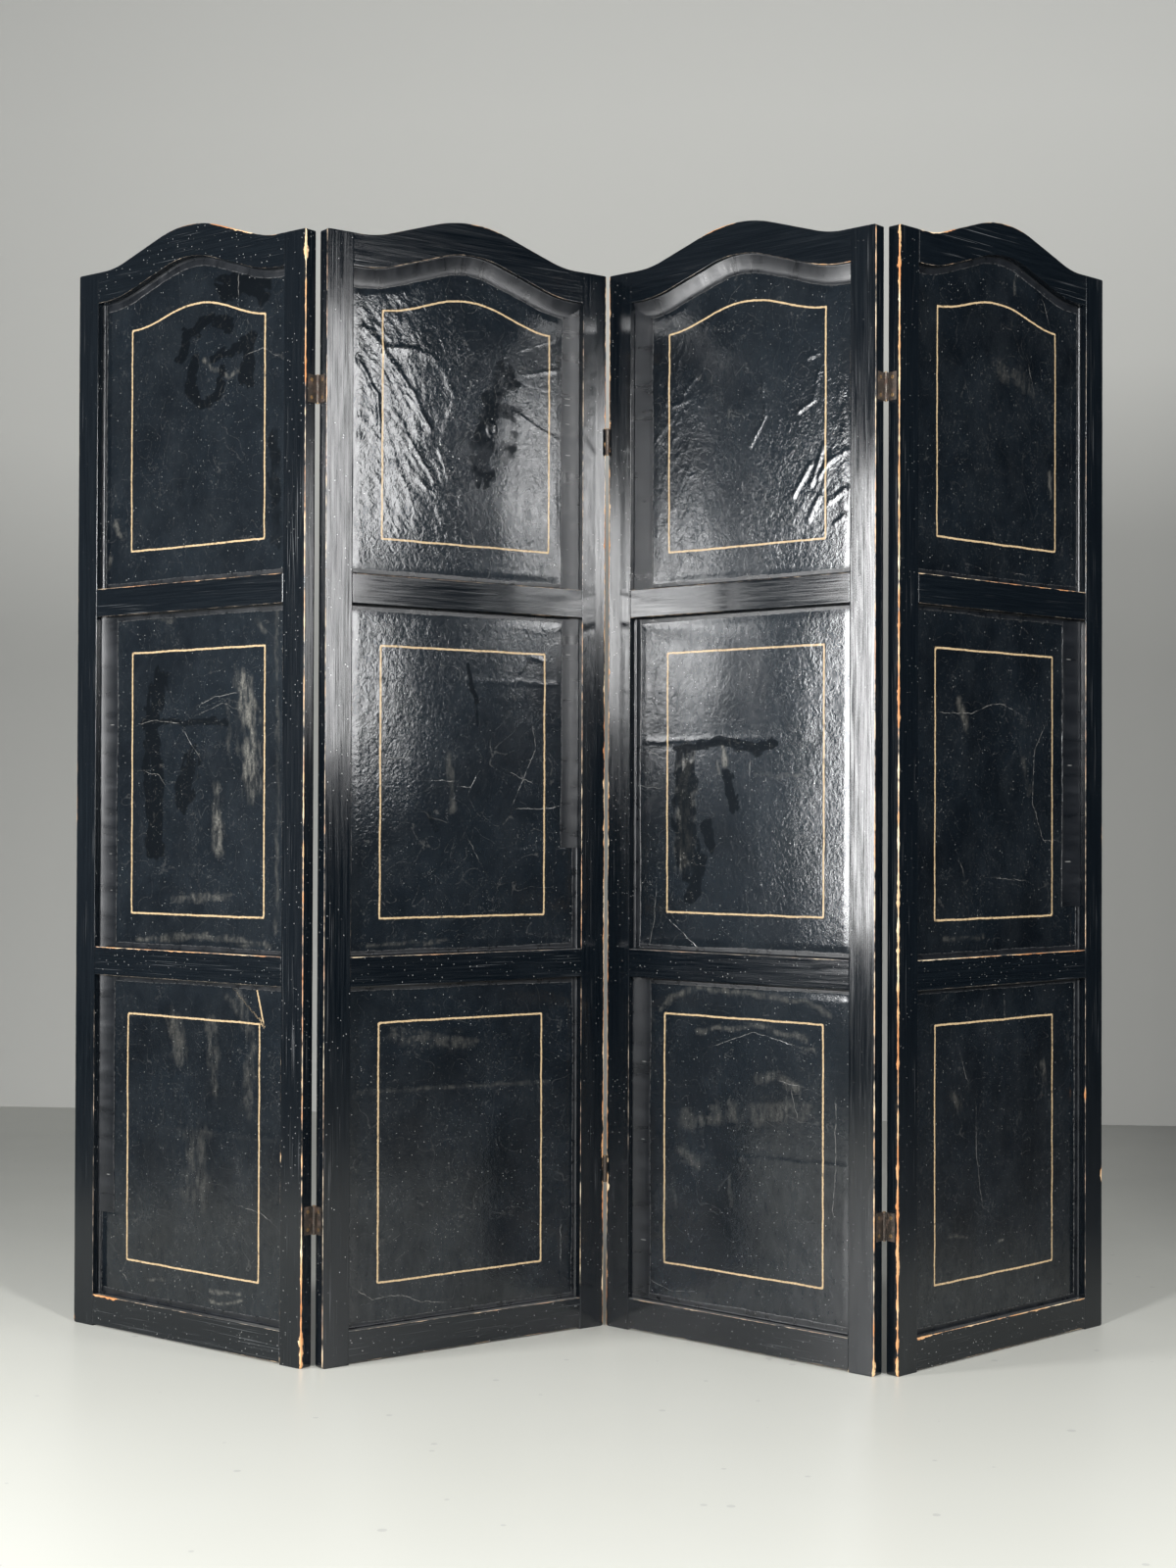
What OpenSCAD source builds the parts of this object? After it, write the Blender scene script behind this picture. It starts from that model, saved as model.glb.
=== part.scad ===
// Four-fold leather screen. Each fold is a black painted frame of two stiles, a camel-back top rail,
// two middle rails and a bottom rail, joined by mortise and tenon and rebated at the back for three
// leather-covered boards. Butt hinges let into the stile edges join the folds, with the barrel at the
// back on the outer joints and at the front on the middle one, so the screen closes like a concertina.
// A fold is drawn flat, with its front face at y = 0 and its left edge at x = 0, and then stood in place.

/* [Fold] */
// Width of one fold over both stiles
fold_w = 543; // [440:1:700]
// Height of the stiles
stile_h = 1783; // [1500:1:2100]
// Width of a stile
stile_w = 48; // [38:1:70]
// Thickness of the frame
frame_t = 22; // [20:0.5:32]
// Chamfer on the outer arrises of the stiles
arris = 0.8; // [0.2:0.1:2]
// Rounding of the outer foot corners
foot_round = 4; // [1:0.5:9]
// Rounding of the outer top corners
top_round = 3; // [1:0.5:9]

/* [Top rail] */
// Rise of the hump over the stiles
hump_rise = 47; // [25:1:80]
// Level stretch of the top rail beside each stile
shoulder_run = 14; // [4:1:40]
// Straight slope between the hollow and the crest
hump_straight = 92; // [20:1:120]
// Part of the two radii together that the crest has
crest_part = 0.575; // [0.5:0.005:0.75]
// Height of the top rail, measured square to its curve
top_rail_h = 52; // [40:1:70]
// Depth of wood left above the top tenon
haunch = 16; // [8:1:20]

/* [Straight rails] */
// Height of the bottom rail
bottom_rail_h = 50; // [35:1:90]
// Gap between the bottom rail and the floor
foot_gap = 3; // [1:0.5:30]
// Height of each middle rail
mid_rail_h = 47; // [35:1:80]
// Lower edge of the lower middle rail over the floor
lower_rail_z = 593; // [400:1:800]
// Lower edge of the upper middle rail over the floor
upper_rail_z = 1198; // [1000:1:1300]

/* [Joinery] */
// Thickness of the tenons
tenon_t = 7; // [4:0.5:9]
// Length of the tenons
tenon_l = 32; // [20:1:34]
// Shoulder over and under a tenon
tenon_shoulder = 6; // [3:0.5:12]
// Side clearance of a tenon in its mortise
tenon_fit = 0.1; // [0:0.05:0.3]
// Glue space beyond the end of a tenon
mortise_end = 1; // [0.5:0.5:3]
// Width of the rebate that holds the panels
rebate_w = 9; // [6:0.5:14]

/* [Panels] */
// Thickness of the leather
leather_t = 1.2; // [0.8:0.1:2]
// Thickness of the backing boards
board_t = 4; // [3:0.5:6]
// Thickness of the back lining
lining_t = 0.8; // [0.5:0.1:1.5]
// How far the lining lies below the back of the frame
back_inset = 0.5; // [0:0.1:2]
// Gap round a panel in its rebate
panel_gap = 1.5; // [0.5:0.5:3]
// Thickness of the binding tape
tape_t = 0.8; // [0.4:0.1:1.5]
// Width of the tape on the leather
tape_w = 22; // [12:1:30]
// Height of the tape up the inside of the frame
tape_rise = 6; // [3:0.5:9]
// Glue line between the tape and the frame
tape_gap = 0.3; // [0.1:0.1:0.5]

/* [Hinges] */
// Height of a hinge
hinge_h = 44; // [30:1:60]
// Width of a leaf from the pin's axis
leaf_w = 20; // [18:0.5:23]
// Thickness of a leaf
leaf_t = 1.6; // [1.2:0.1:1.7]
// Outer radius of the knuckles
knuckle_r = 3.2; // [3.1:0.1:3.6]
// Radius of the pin
pin_r = 1.4; // [1:0.1:1.8]
// Running clearance of the pin in its bore
pin_fit = 0.05; // [0.02:0.01:0.1]
// Gap between neighbouring knuckles
knuckle_gap = 0.15; // [0.1:0.05:0.4]
// Clearance of a leaf round the other leaf's knuckles
knuckle_relief = 0.3; // [0.15:0.05:0.6]
// Radius of a pin's head
pin_head_r = 2.6; // [2:0.1:3]
// Height of a pin's head
pin_head_h = 1; // [0.5:0.1:2]
// How far the pin's axis stands out from the face of the frame
axis_out = 3.8; // [3.8:0.1:6]
// Outer joints: distance from the edge of a fold to the plane of the pin
edge_gap = 1.4; // [1.4:0.1:2]
// Middle joint: distance from the edge of a fold to the plane of the pin
middle_gap = 0.3; // [0.3:0.1:2]
// Clearance of a leaf in its seat
seat_fit = 0.1; // [0.05:0.05:0.3]
// Outer hinges: centre of the lower one over the floor
outer_low = 229; // [150:1:400]
// Outer hinges: centre of the upper one below the stile's top
outer_top = 250; // [150:1:400]
// Middle hinges: centre of the lower one over the floor
middle_low = 266; // [150:1:400]
// Middle hinges: centre of the upper one below the stile's top
middle_top = 283; // [150:1:400]

/* [Hinge screws] */
// Radius of a screw's head
screw_head_r = 3.1; // [2.4:0.1:3.4]
// Radius of a screw's shank
screw_r = 1.6; // [1.2:0.1:1.9]
// Length of a screw
screw_l = 16; // [10:1:22]
// Clearance round a screw
screw_fit = 0.05; // [0.02:0.01:0.2]
// Distance of a screw from the end of its leaf
screw_end = 8; // [6:0.5:12]
// Width of a screw's slot
slot_w = 0.9; // [0.5:0.1:1.4]
// Depth of a screw's slot
slot_d = 0.7; // [0.4:0.1:1]

/* [Stance] */
// Turn of the first fold out of line, left end to the back
turn_1 = 38; // [10:1:75]
// Turn of the second fold, right end to the back
turn_2 = 36; // [10:1:75]
// Turn of the third fold, left end to the back
turn_3 = 41; // [10:1:75]
// Turn of the fourth fold, right end to the back
turn_4 = 43; // [10:1:75]

/* [Hidden] */
folds = 4;
knuckles = 5;
arc_fn = 180;
round_fn = 48;
over = 1;

open_w = fold_w - 2 * stile_w;
lip_t = frame_t - back_inset - lining_t - board_t - leather_t;
panel_lap = rebate_w - panel_gap;
tenon_y = (lip_t - tenon_t) / 2;
knuckle_h = hinge_h / knuckles;
screw_y = axis_out + (leaf_w - axis_out) / 2;
countersink = leaf_t;

// The hump: the slope's angle and the two radii that join it to the shoulder and over the crest
hump_x = stile_w + shoulder_run;
hump_half = fold_w / 2 - hump_x;
both_radii = (hump_half ^ 2 + hump_rise ^ 2 - hump_straight ^ 2) / (2 * hump_rise);
crest_r = crest_part * both_radii;
hollow_r = both_radii - crest_r;
slope = atan2(hump_rise - both_radii, hump_half) - atan2(-both_radii, hump_straight);
crest_z = stile_h + hump_rise - crest_r;
hollow_z = stile_h + hollow_r;

// Lowest and highest edge of each opening, and of each tenon
opening_z = [
    [foot_gap + bottom_rail_h, lower_rail_z],
    [lower_rail_z + mid_rail_h, upper_rail_z],
    [upper_rail_z + mid_rail_h, stile_h + hump_rise - top_rail_h]
];
tenon_z = [
    [foot_gap + tenon_shoulder, foot_gap + bottom_rail_h - tenon_shoulder],
    [lower_rail_z + tenon_shoulder, lower_rail_z + mid_rail_h - tenon_shoulder],
    [upper_rail_z + tenon_shoulder, upper_rail_z + mid_rail_h - tenon_shoulder],
    [stile_h - top_rail_h + tenon_shoulder, stile_h - haunch]
];

// Stance in plan. A joint has the number of the fold on its left.
turns = [-turn_1, turn_2, -turn_3, turn_4];
function turn(n) = turns[n - 1];
function at_back(joint) = joint != 2;
function axis_y(joint) = at_back(joint) ? frame_t + axis_out : -axis_out;
function spin(p, a) = [p.x * cos(a) - p.y * sin(a), p.x * sin(a) + p.y * cos(a)];
function gap_at(joint) = at_back(joint) ? edge_gap : middle_gap;
function start(n) = n == 1 ? [0, 0]
    : start(n - 1) + spin([fold_w + gap_at(n - 1), axis_y(n - 1)], turn(n - 1))
        - spin([-gap_at(n - 1), axis_y(n - 1)], turn(n));
edge_points = [for (x = [0, fold_w], y = [0, frame_t], cut = [[arris, 0], [0, arris]])
    [x == 0 ? cut.x : x - cut.x, y == 0 ? cut.y : y - cut.y]];
plan_points = [for (n = [1:folds], p = edge_points) start(n) + spin(p, turn(n))];
plan_x = [for (p = plan_points) p.x];
plan_y = [for (p = plan_points) p.y];
middle = [(min(plan_x) + max(plan_x)) / 2, (min(plan_y) + max(plan_y)) / 2];

function hinge_z(joint) = at_back(joint)
    ? [outer_low, stile_h - outer_top] : [middle_low, stile_h - middle_top];
function joint_of(n, side) = n - 1 + side;
function has_joint(n, side) = joint_of(n, side) >= 1 && joint_of(n, side) < folds;
// The fold that carries the three-knuckle leaf and the pin of each joint, and on which of its sides
function pin_fold(joint) = joint == 1 ? 2 : joint;
function other_fold(joint) = joint == 1 ? 1 : joint + 1;
function side_of(n, joint) = n == joint ? 1 : 0;

sides = ["left", "right"];
panels = ["bottom", "middle", "top"];
top_panel = len(panels) - 1;

black_paint = "#1b1b1e";
black_leather = "#26262b";
black_cloth = "#34353a";
bare_pine = "#c99a62";
old_steel = "#6b5a48";
old_brass = "#8a6a3c";

// Stands a flat fold in its place in the zigzag
module in_fold(n) {
    translate(concat(start(n) - middle, 0)) rotate([0, 0, turn(n)]) children();
}

// A board with its outline in the fold's x and z, from depth y0 to y1
module slab(y0, y1) {
    translate([0, y1, 0]) rotate([90, 0, 0]) linear_extrude(y1 - y0) children();
}

// Everything under the fold's outline, lowered by drop square to the curve
module under_head(drop) {
    hollow = hollow_r + drop;
    crest = crest_r - drop;
    level = stile_h - drop;
    slope_x = hump_x + hollow * sin(slope);
    slope_z = hollow_z - hollow * cos(slope);
    crest_x = fold_w / 2 - crest * sin(slope);
    crest_edge = crest_z + crest * cos(slope);
    for (side = [0, 1]) translate([side * fold_w, 0]) mirror([side, 0]) {
        square([hump_x + over, level]);
        difference() {
            translate([hump_x, 0]) square([slope_x - hump_x, slope_z + over]);
            translate([hump_x, hollow_z]) circle(hollow, $fn = arc_fn);
        }
        polygon([
            [slope_x - over, 0], [crest_x, 0], [crest_x, crest_edge],
            [slope_x - over, slope_z - over * tan(slope)]
        ]);
    }
    translate([crest_x - over, 0]) square([fold_w - 2 * (crest_x - over), crest_edge - over]);
    intersection() {
        translate([fold_w / 2, crest_z]) circle(crest, $fn = arc_fn);
        translate([crest_x - over, crest_edge - 2 * over])
            square([fold_w - 2 * (crest_x - over), crest]);
    }
}

// Outline of an opening of the frame, drawn in by inset all round
module opening(i, inset) {
    low = opening_z[i][0] + inset;
    high = opening_z[i][1] - inset;
    intersection() {
        translate([stile_w + inset, low]) square([open_w - 2 * inset, high - low]);
        if (i < top_panel) square([fold_w, stile_h]);
        else under_head(top_rail_h + inset);
    }
}

module corner_cut(r) {
    difference() {
        translate([-over, -over]) square(r + over);
        translate([r, r]) circle(r, $fn = round_fn);
    }
}

module stile_section() {
    difference() {
        polygon([
            [arris, 0], [stile_w, 0], [stile_w, frame_t],
            [arris, frame_t], [0, frame_t - arris], [0, arris]
        ]);
        translate([stile_w - rebate_w, lip_t]) square([rebate_w + over, frame_t - lip_t + over]);
    }
}

// Puts its child at a hinge of the given side of a fold: x runs from the pin's plane into the stile,
// y from the pin's axis across the stile's edge
module at_hinge(n, side, z) {
    joint = joint_of(n, side);
    translate([side == 0 ? -gap_at(joint) : fold_w + gap_at(joint), axis_y(joint), z])
        mirror([side, 0, 0]) mirror([0, at_back(joint) ? 1 : 0, 0]) children();
}

module at_screws(joint) {
    for (end = [-1, 1])
        translate([gap_at(joint), screw_y, end * (hinge_h / 2 - screw_end)]) rotate([0, 90, 0]) children();
}

module screw_body(fit) {
    rotate_extrude($fn = round_fn) polygon([
        [0, 0], [screw_head_r + fit, 0], [screw_r + fit, countersink],
        [screw_r + fit, screw_l - screw_r], [0, screw_l + fit]
    ]);
}

module stile(n, side) {
    color(black_paint) in_fold(n) difference() {
        translate([side * fold_w, 0, 0]) mirror([side, 0, 0]) difference() {
            linear_extrude(stile_h) stile_section();
            slab(-over, frame_t + over) {
                corner_cut(foot_round);
                translate([0, stile_h]) mirror([0, 1]) corner_cut(top_round);
            }
            for (t = tenon_z)
                translate([stile_w - tenon_l - mortise_end, tenon_y - tenon_fit, t[0] - tenon_fit])
                    cube([tenon_l + mortise_end + over, tenon_t + 2 * tenon_fit,
                        t[1] - t[0] + 2 * tenon_fit]);
        }
        joint = joint_of(n, side);
        if (has_joint(n, side)) for (z = hinge_z(joint)) at_hinge(n, side, z) {
            translate([gap_at(joint) - over, 0, -hinge_h / 2 - seat_fit])
                cube([leaf_t + over, leaf_w + seat_fit, hinge_h + 2 * seat_fit]);
            at_screws(joint) screw_body(screw_fit);
        }
    }
}

module tenons(span) {
    for (side = [0, 1]) translate([side * fold_w, 0, 0]) mirror([side, 0, 0])
        translate([stile_w - tenon_l, tenon_y, span[0]])
            cube([tenon_l + over, tenon_t, span[1] - span[0]]);
}

module top_rail(n) {
    color(black_paint) in_fold(n) {
        slab(0, lip_t) intersection() {
            difference() { under_head(0); under_head(top_rail_h); }
            translate([stile_w, 0]) square([open_w, stile_h + hump_rise]);
        }
        slab(lip_t, frame_t) intersection() {
            difference() { under_head(0); under_head(top_rail_h - rebate_w); }
            translate([stile_w - rebate_w, 0]) square([open_w + 2 * rebate_w, stile_h + hump_rise]);
        }
        tenons(tenon_z[3]);
    }
}

// A straight rail with its tenons. Behind the lip it reaches into the stiles' rebates.
module straight_rail(n, z, h, span, foot_rebate) {
    color(black_paint) in_fold(n) {
        translate([stile_w, 0, z]) cube([open_w, lip_t, h]);
        translate([stile_w - rebate_w, lip_t, z + foot_rebate])
            cube([open_w + 2 * rebate_w, frame_t - lip_t, h - foot_rebate - rebate_w]);
        tenons(span);
    }
}

module leather(n, i) {
    color(black_leather) in_fold(n)
        slab(lip_t, lip_t + leather_t) opening(i, -panel_lap);
}

module boards(n) {
    color(bare_pine) in_fold(n) for (i = [0:top_panel])
        slab(lip_t + leather_t, lip_t + leather_t + board_t) opening(i, -panel_lap);
}

module linings(n) {
    front = lip_t + leather_t + board_t;
    color(black_cloth) in_fold(n) for (i = [0:top_panel])
        slab(front, front + lining_t) opening(i, -panel_lap);
}

// Tape in the corner of each opening: flat on the leather and turned up against the frame
module tapes(n) {
    color(black_cloth) in_fold(n) for (i = [0:top_panel]) {
        slab(lip_t - tape_t, lip_t) difference() {
            opening(i, tape_gap);
            opening(i, tape_w);
        }
        slab(lip_t - tape_rise, lip_t) difference() {
            opening(i, tape_gap);
            opening(i, tape_gap + tape_t);
        }
    }
}

// One hinge leaf. The knuckles from first on, every second one, are its own.
module leaf(joint, first) {
    difference() {
        union() {
            translate([gap_at(joint), 0, -hinge_h / 2]) cube([leaf_t, leaf_w, hinge_h]);
            for (k = [first:2:knuckles - 1]) knuckle(k, knuckle_r, -knuckle_gap / 2);
        }
        for (k = [1 - first:2:knuckles - 1]) knuckle(k, knuckle_r + knuckle_relief, knuckle_gap / 2);
        translate([0, 0, -hinge_h / 2 - over])
            cylinder(r = pin_r + pin_fit, h = hinge_h + 2 * over, $fn = round_fn);
        at_screws(joint) screw_body(screw_fit);
    }
}

module knuckle(k, r, grow) {
    low = k == 0 ? -hinge_h / 2 - (grow > 0 ? over : 0) : -hinge_h / 2 + k * knuckle_h - grow;
    high = k == knuckles - 1 ? hinge_h / 2 + (grow > 0 ? over : 0)
        : -hinge_h / 2 + (k + 1) * knuckle_h + grow;
    translate([0, 0, low]) cylinder(r = r, h = high - low, $fn = round_fn);
}

module leaves(n, joint, first) {
    color(old_steel) in_fold(n) for (z = hinge_z(joint))
        at_hinge(n, side_of(n, joint), z) leaf(joint, first);
}

module hinge_pin() {
    reach = hinge_h / 2;
    rotate_extrude($fn = round_fn) polygon([
        [0, -reach - pin_head_h], [pin_head_r - pin_head_h / 2, -reach - pin_head_h],
        [pin_head_r, -reach - pin_head_h / 2], [pin_head_r, -reach],
        [pin_r, -reach], [pin_r, reach], [pin_head_r, reach],
        [pin_head_r, reach + pin_head_h / 2], [pin_head_r - pin_head_h / 2, reach + pin_head_h],
        [0, reach + pin_head_h]
    ]);
}

module hinge_pins(n) {
    color(old_brass) in_fold(n) for (joint = [1:folds - 1]) if (pin_fold(joint) == n)
        for (z = hinge_z(joint)) at_hinge(n, side_of(n, joint), z) hinge_pin();
}

module hinge_screws(n) {
    color(old_brass) in_fold(n) for (side = [0, 1]) if (has_joint(n, side)) {
        joint = joint_of(n, side);
        for (z = hinge_z(joint)) at_hinge(n, side, z) at_screws(joint) difference() {
            screw_body(0);
            translate([-screw_head_r - over, -slot_w / 2, -over])
                cube([2 * (screw_head_r + over), slot_w, slot_d + over]);
        }
    }
}

for (n = [1:folds]) {
    stile(n, 0);
    stile(n, 1);
    top_rail(n);
    straight_rail(n, upper_rail_z, mid_rail_h, tenon_z[2], rebate_w);
    straight_rail(n, lower_rail_z, mid_rail_h, tenon_z[1], rebate_w);
    straight_rail(n, foot_gap, bottom_rail_h, tenon_z[0], 0);
    for (i = [0:top_panel])
        leather(n, i);
    boards(n);
    linings(n);
    tapes(n);
    hinge_screws(n);
    hinge_pins(n);
}
for (j = [1:folds - 1]) {
    leaves(pin_fold(j), j, 0);
    leaves(other_fold(j), j, 1);
}
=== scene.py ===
import math

import bpy
import numpy as np
from mathutils import Matrix


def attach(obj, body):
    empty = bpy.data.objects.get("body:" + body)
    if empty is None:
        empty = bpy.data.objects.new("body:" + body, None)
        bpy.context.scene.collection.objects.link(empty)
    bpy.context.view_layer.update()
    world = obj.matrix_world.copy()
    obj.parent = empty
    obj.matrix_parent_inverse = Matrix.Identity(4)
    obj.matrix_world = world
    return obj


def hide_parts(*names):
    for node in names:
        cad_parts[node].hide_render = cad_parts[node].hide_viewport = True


# Black four-fold leather screen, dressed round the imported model
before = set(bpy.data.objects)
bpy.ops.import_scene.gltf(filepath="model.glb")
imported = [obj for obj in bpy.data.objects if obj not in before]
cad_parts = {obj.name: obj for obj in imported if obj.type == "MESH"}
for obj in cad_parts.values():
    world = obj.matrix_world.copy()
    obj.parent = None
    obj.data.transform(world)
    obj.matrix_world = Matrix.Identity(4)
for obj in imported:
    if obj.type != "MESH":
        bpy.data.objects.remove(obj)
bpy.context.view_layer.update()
mm = 0.001
foldsApart = np.array([0, 0, 4000.0])       # sets each fold's place in the materials' noise apart

# Sizes of one fold in millimetres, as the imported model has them: x over the width from the left
# edge, y from the front face to the back, z up
foldSizes = {
    "width": 543.0,
    "stileHeight": 1783.0,
    "stileWidth": 48.0,
    "thickness": 22.0,
    "lip": 15.5,             # wood in front of the leather
    "rebate": 9.0,
    "panelLap": 7.5,         # leather under the lip
    "leather": 1.2,
    "shoulder": 14.0,        # level stretch of the head beside a stile
    "hollowRadius": 170.159,
    "crestRadius": 230.216,
    "slopeLength": 92.0,
    "slopeDegrees": 17.7207,
    "topRail": 52.0,
    "footGap": 3.0,
    "bottomRail": 50.0,
    "midRail": 47.0,
    "lowerRail": 593.0,
    "upperRail": 1198.0,
    "footRound": 4.0,
    "topRound": 3.0,
    "crestHeight": 1830.0,
}
turnOf = {1: -38, 2: 36, 3: -41, 4: 43}     # each fold's turn in plan, in degrees
folds = sorted(turnOf)
width = foldSizes["width"]
stileHeight = foldSizes["stileHeight"]
stileWidth = foldSizes["stileWidth"]
thickness = foldSizes["thickness"]
lip = foldSizes["lip"]
rebate = foldSizes["rebate"]
lap = foldSizes["panelLap"]
headRail = foldSizes["topRail"]
panelLeft, panelRight = stileWidth - lap, width - stileWidth + lap

# Hinge seats in the stiles' outer edges: height of the middle, and whether the barrel is at the back
hingeSeats = {
    1: {"heights": (229.0, 1533.0), "atBack": True},
    2: {"heights": (266.0, 1500.0), "atBack": False},
    3: {"heights": (229.0, 1533.0), "atBack": True},
}
seatSizes = {"halfHeight": 22.1, "depth": 1.65, "wood": 5.7}

openings = {
    "bottom": (foldSizes["footGap"] + foldSizes["bottomRail"], foldSizes["lowerRail"]),
    "middle": (foldSizes["lowerRail"] + foldSizes["midRail"], foldSizes["upperRail"]),
    "top": (foldSizes["upperRail"] + foldSizes["midRail"], None),
}


# Where each fold stands
def foldCorner(n):
    # the left stile is turned back into line, and its lowest corner is the fold's own origin
    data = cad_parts[f"fold_{n}_left_stile"].data
    co = np.zeros(len(data.vertices) * 3)
    data.vertices.foreach_get("co", co)
    co = co.reshape(-1, 3) / mm
    a = math.radians(turnOf[n])
    x = co[:, 0] * math.cos(a) + co[:, 1] * math.sin(a)
    y = -co[:, 0] * math.sin(a) + co[:, 1] * math.cos(a)
    return float(x.min()), float(y.min())


cornerOf = {n: foldCorner(n) for n in folds}


def standInPlace(n, local):
    # turn about the upright axis and move: world = R(turn) (local + corner), millimetres to metres
    a = math.radians(turnOf[n])
    x = local[..., 0] + cornerOf[n][0]
    y = local[..., 1] + cornerOf[n][1]
    return np.stack([x * math.cos(a) - y * math.sin(a),
                     x * math.sin(a) + y * math.cos(a), local[..., 2]], -1) * mm


print("frame read: folds stand at", {n: [round(v, 1) for v in cornerOf[n]] for n in folds})

# Noise worked out as whole arrays
latticeSize = 256
lattice = np.random.default_rng(11).random((latticeSize, latticeSize))


def softNoise(x, y, seed=0):
    # a random slope at each corner of the unit squares; the four planes of a square are blended by
    # the step t^3 (6 t^2 - 15 t + 10), and the sum is brought to 0 to 1
    x, y = np.broadcast_arrays(np.asarray(x, float), np.asarray(y, float))
    ix, iy = np.floor(x).astype(int), np.floor(y).astype(int)
    fx, fy = x - ix, y - iy
    tx, ty = (t ** 3 * (t * (6 * t - 15) + 10) for t in (fx, fy))
    ix, iy = ix + 37 * seed, iy + 91 * seed

    def plane(dx, dy):
        turn = 2 * math.pi * lattice[(ix + dx) % latticeSize, (iy + dy) % latticeSize]
        return np.cos(turn) * (fx - dx) + np.sin(turn) * (fy - dy)

    low = plane(0, 0) * (1 - tx) + plane(1, 0) * tx
    high = plane(0, 1) * (1 - tx) + plane(1, 1) * tx
    return np.clip(0.5 + 0.85 * (low * (1 - ty) + high * ty), 0, 1)


def layeredNoise(x, y, seed=0, layers=3):
    # noise at halving sizes and halving strengths, 0 to 1
    total, weight = 0, 0
    for k in range(layers):
        total = total + softNoise(x * 2 ** k, y * 2 ** k, seed + 7 * k) / 2 ** k
        weight += 1 / 2 ** k
    return total / weight


def smoothStep(value, low, high):
    t = np.clip((value - low) / (high - low), 0, 1)
    return t * t * (3 - 2 * t)


# Meshes from arrays
def quadVolume(points, quads):
    # six times the sum of the tetrahedra between the faces and the middle of the points
    p = points - points.mean(0)
    a, b, c, d = (p[quads[:, k]] for k in range(4))
    return float((a * np.cross(b, c)).sum() + (a * np.cross(c, d)).sum())


def meshPiece(name, points, quads, lids=(), floats=None, vectors=None, sharp=None):
    # where the volume comes out negative the faces are turned round, so that they point outwards
    volume = quadVolume(points, quads)
    for lid in lids:
        q = (points - points.mean(0))[list(lid)]
        volume += float((q[0] * np.cross(q[1:-1], q[2:]).sum(0)).sum())
    faces = quads[:, ::-1].tolist() if volume < 0 else quads.tolist()
    faces += [list(lid)[::-1] if volume < 0 else list(lid) for lid in lids]
    mesh = bpy.data.meshes.new(name)
    mesh.from_pydata(points.tolist(), [], faces)
    for kind, field, table in (("FLOAT", "value", floats), ("FLOAT_VECTOR", "vector", vectors)):
        for key, values in (table or {}).items():
            made = mesh.attributes.new(key, kind, "POINT")
            made.data.foreach_set(field, np.asarray(values, np.float32).ravel())
    mesh.shade_smooth()
    if sharp:
        mesh.set_sharp_from_angle(angle=math.radians(sharp))
    mesh.update()
    piece = bpy.data.objects.new(name, mesh)
    bpy.context.scene.collection.objects.link(piece)
    return piece


def enlist(piece, n, replaced=None):
    # the piece rides on its fold, in the place of a node where one is named
    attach(piece, f"fold_{n}")
    if replaced:
        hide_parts(replaced)
    return piece


def ringQuads(rows, cols, closed=True):
    # faces between neighbouring rows of points, each row closed to a ring or open
    r, c = np.meshgrid(np.arange(rows - 1), np.arange(cols if closed else cols - 1), indexing="ij")
    e = (c + 1) % cols
    return np.stack([r * cols + c, r * cols + e, (r + 1) * cols + e, (r + 1) * cols + c],
                    -1).reshape(-1, 4)


def sheetShell(face, shift):
    # A closed sheet from the grid of points of one face: a band round its edge, as deep as the shift
    # says, and one lid. Gives the points, the band's and the face's quads, the lid and the edge.
    rows, cols = face.shape[:2]
    rim = np.concatenate([np.arange(cols), np.arange(1, rows) * cols + cols - 1,
                          (rows - 1) * cols + np.arange(cols - 2, -1, -1),
                          np.arange(rows - 2, 0, -1) * cols])
    flat = face.reshape(-1, 3)
    around = len(flat) + np.arange(len(rim))
    band = np.stack([rim, np.roll(rim, -1), np.roll(around, -1), around], -1)
    quads = np.concatenate([ringQuads(rows, cols, False)[:, ::-1], band])
    return np.concatenate([flat, flat[rim] + shift]), quads, tuple(around), rim


def panelGrid(panel, step):
    # points over a panel and its lap, x and z, with its lower edge and its head over x
    cols = int((panelRight - panelLeft) / step) + 1
    x = np.linspace(panelLeft, panelRight, cols)
    low, high = openings[panel][0] - lap, panelHead(panel, x)
    rows = int((high.max() - low) / step) + 1
    z = low + np.linspace(0, 1, rows)[:, None] * (high - low)[None]
    return np.broadcast_to(x[None], z.shape), z, low, high


def panelHead(panel, x):
    # the upper edge of a panel with its lap: the head's curve on the top one, level on the others
    if panel == "top":
        return headHeight(x, headRail - lap)
    return np.full(x.shape, openings[panel][1] + lap)


# Frame members
wearFinish = {
    "roundness": 0.7,        # radius of a crisp arris, mm
    "roundnessSpread": 0.5,
    "station": 6.0,          # distance between sections, mm
    "endChamfer": 0.5,
    "nicks": 0.12,           # widest bare spots of an arris that has little wear, mm
    "fade": 8,               # half the length in which a worn stretch sets in
    "widening": 0.22,        # radius that the width of the wear adds, as a share of it
    "widest": 1.45,          # largest radius, mm
    "ringSteps": (1.6, 3.2, 6.0, 11.0, 17.0),       # distances of a section's points from a corner
}


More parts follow.
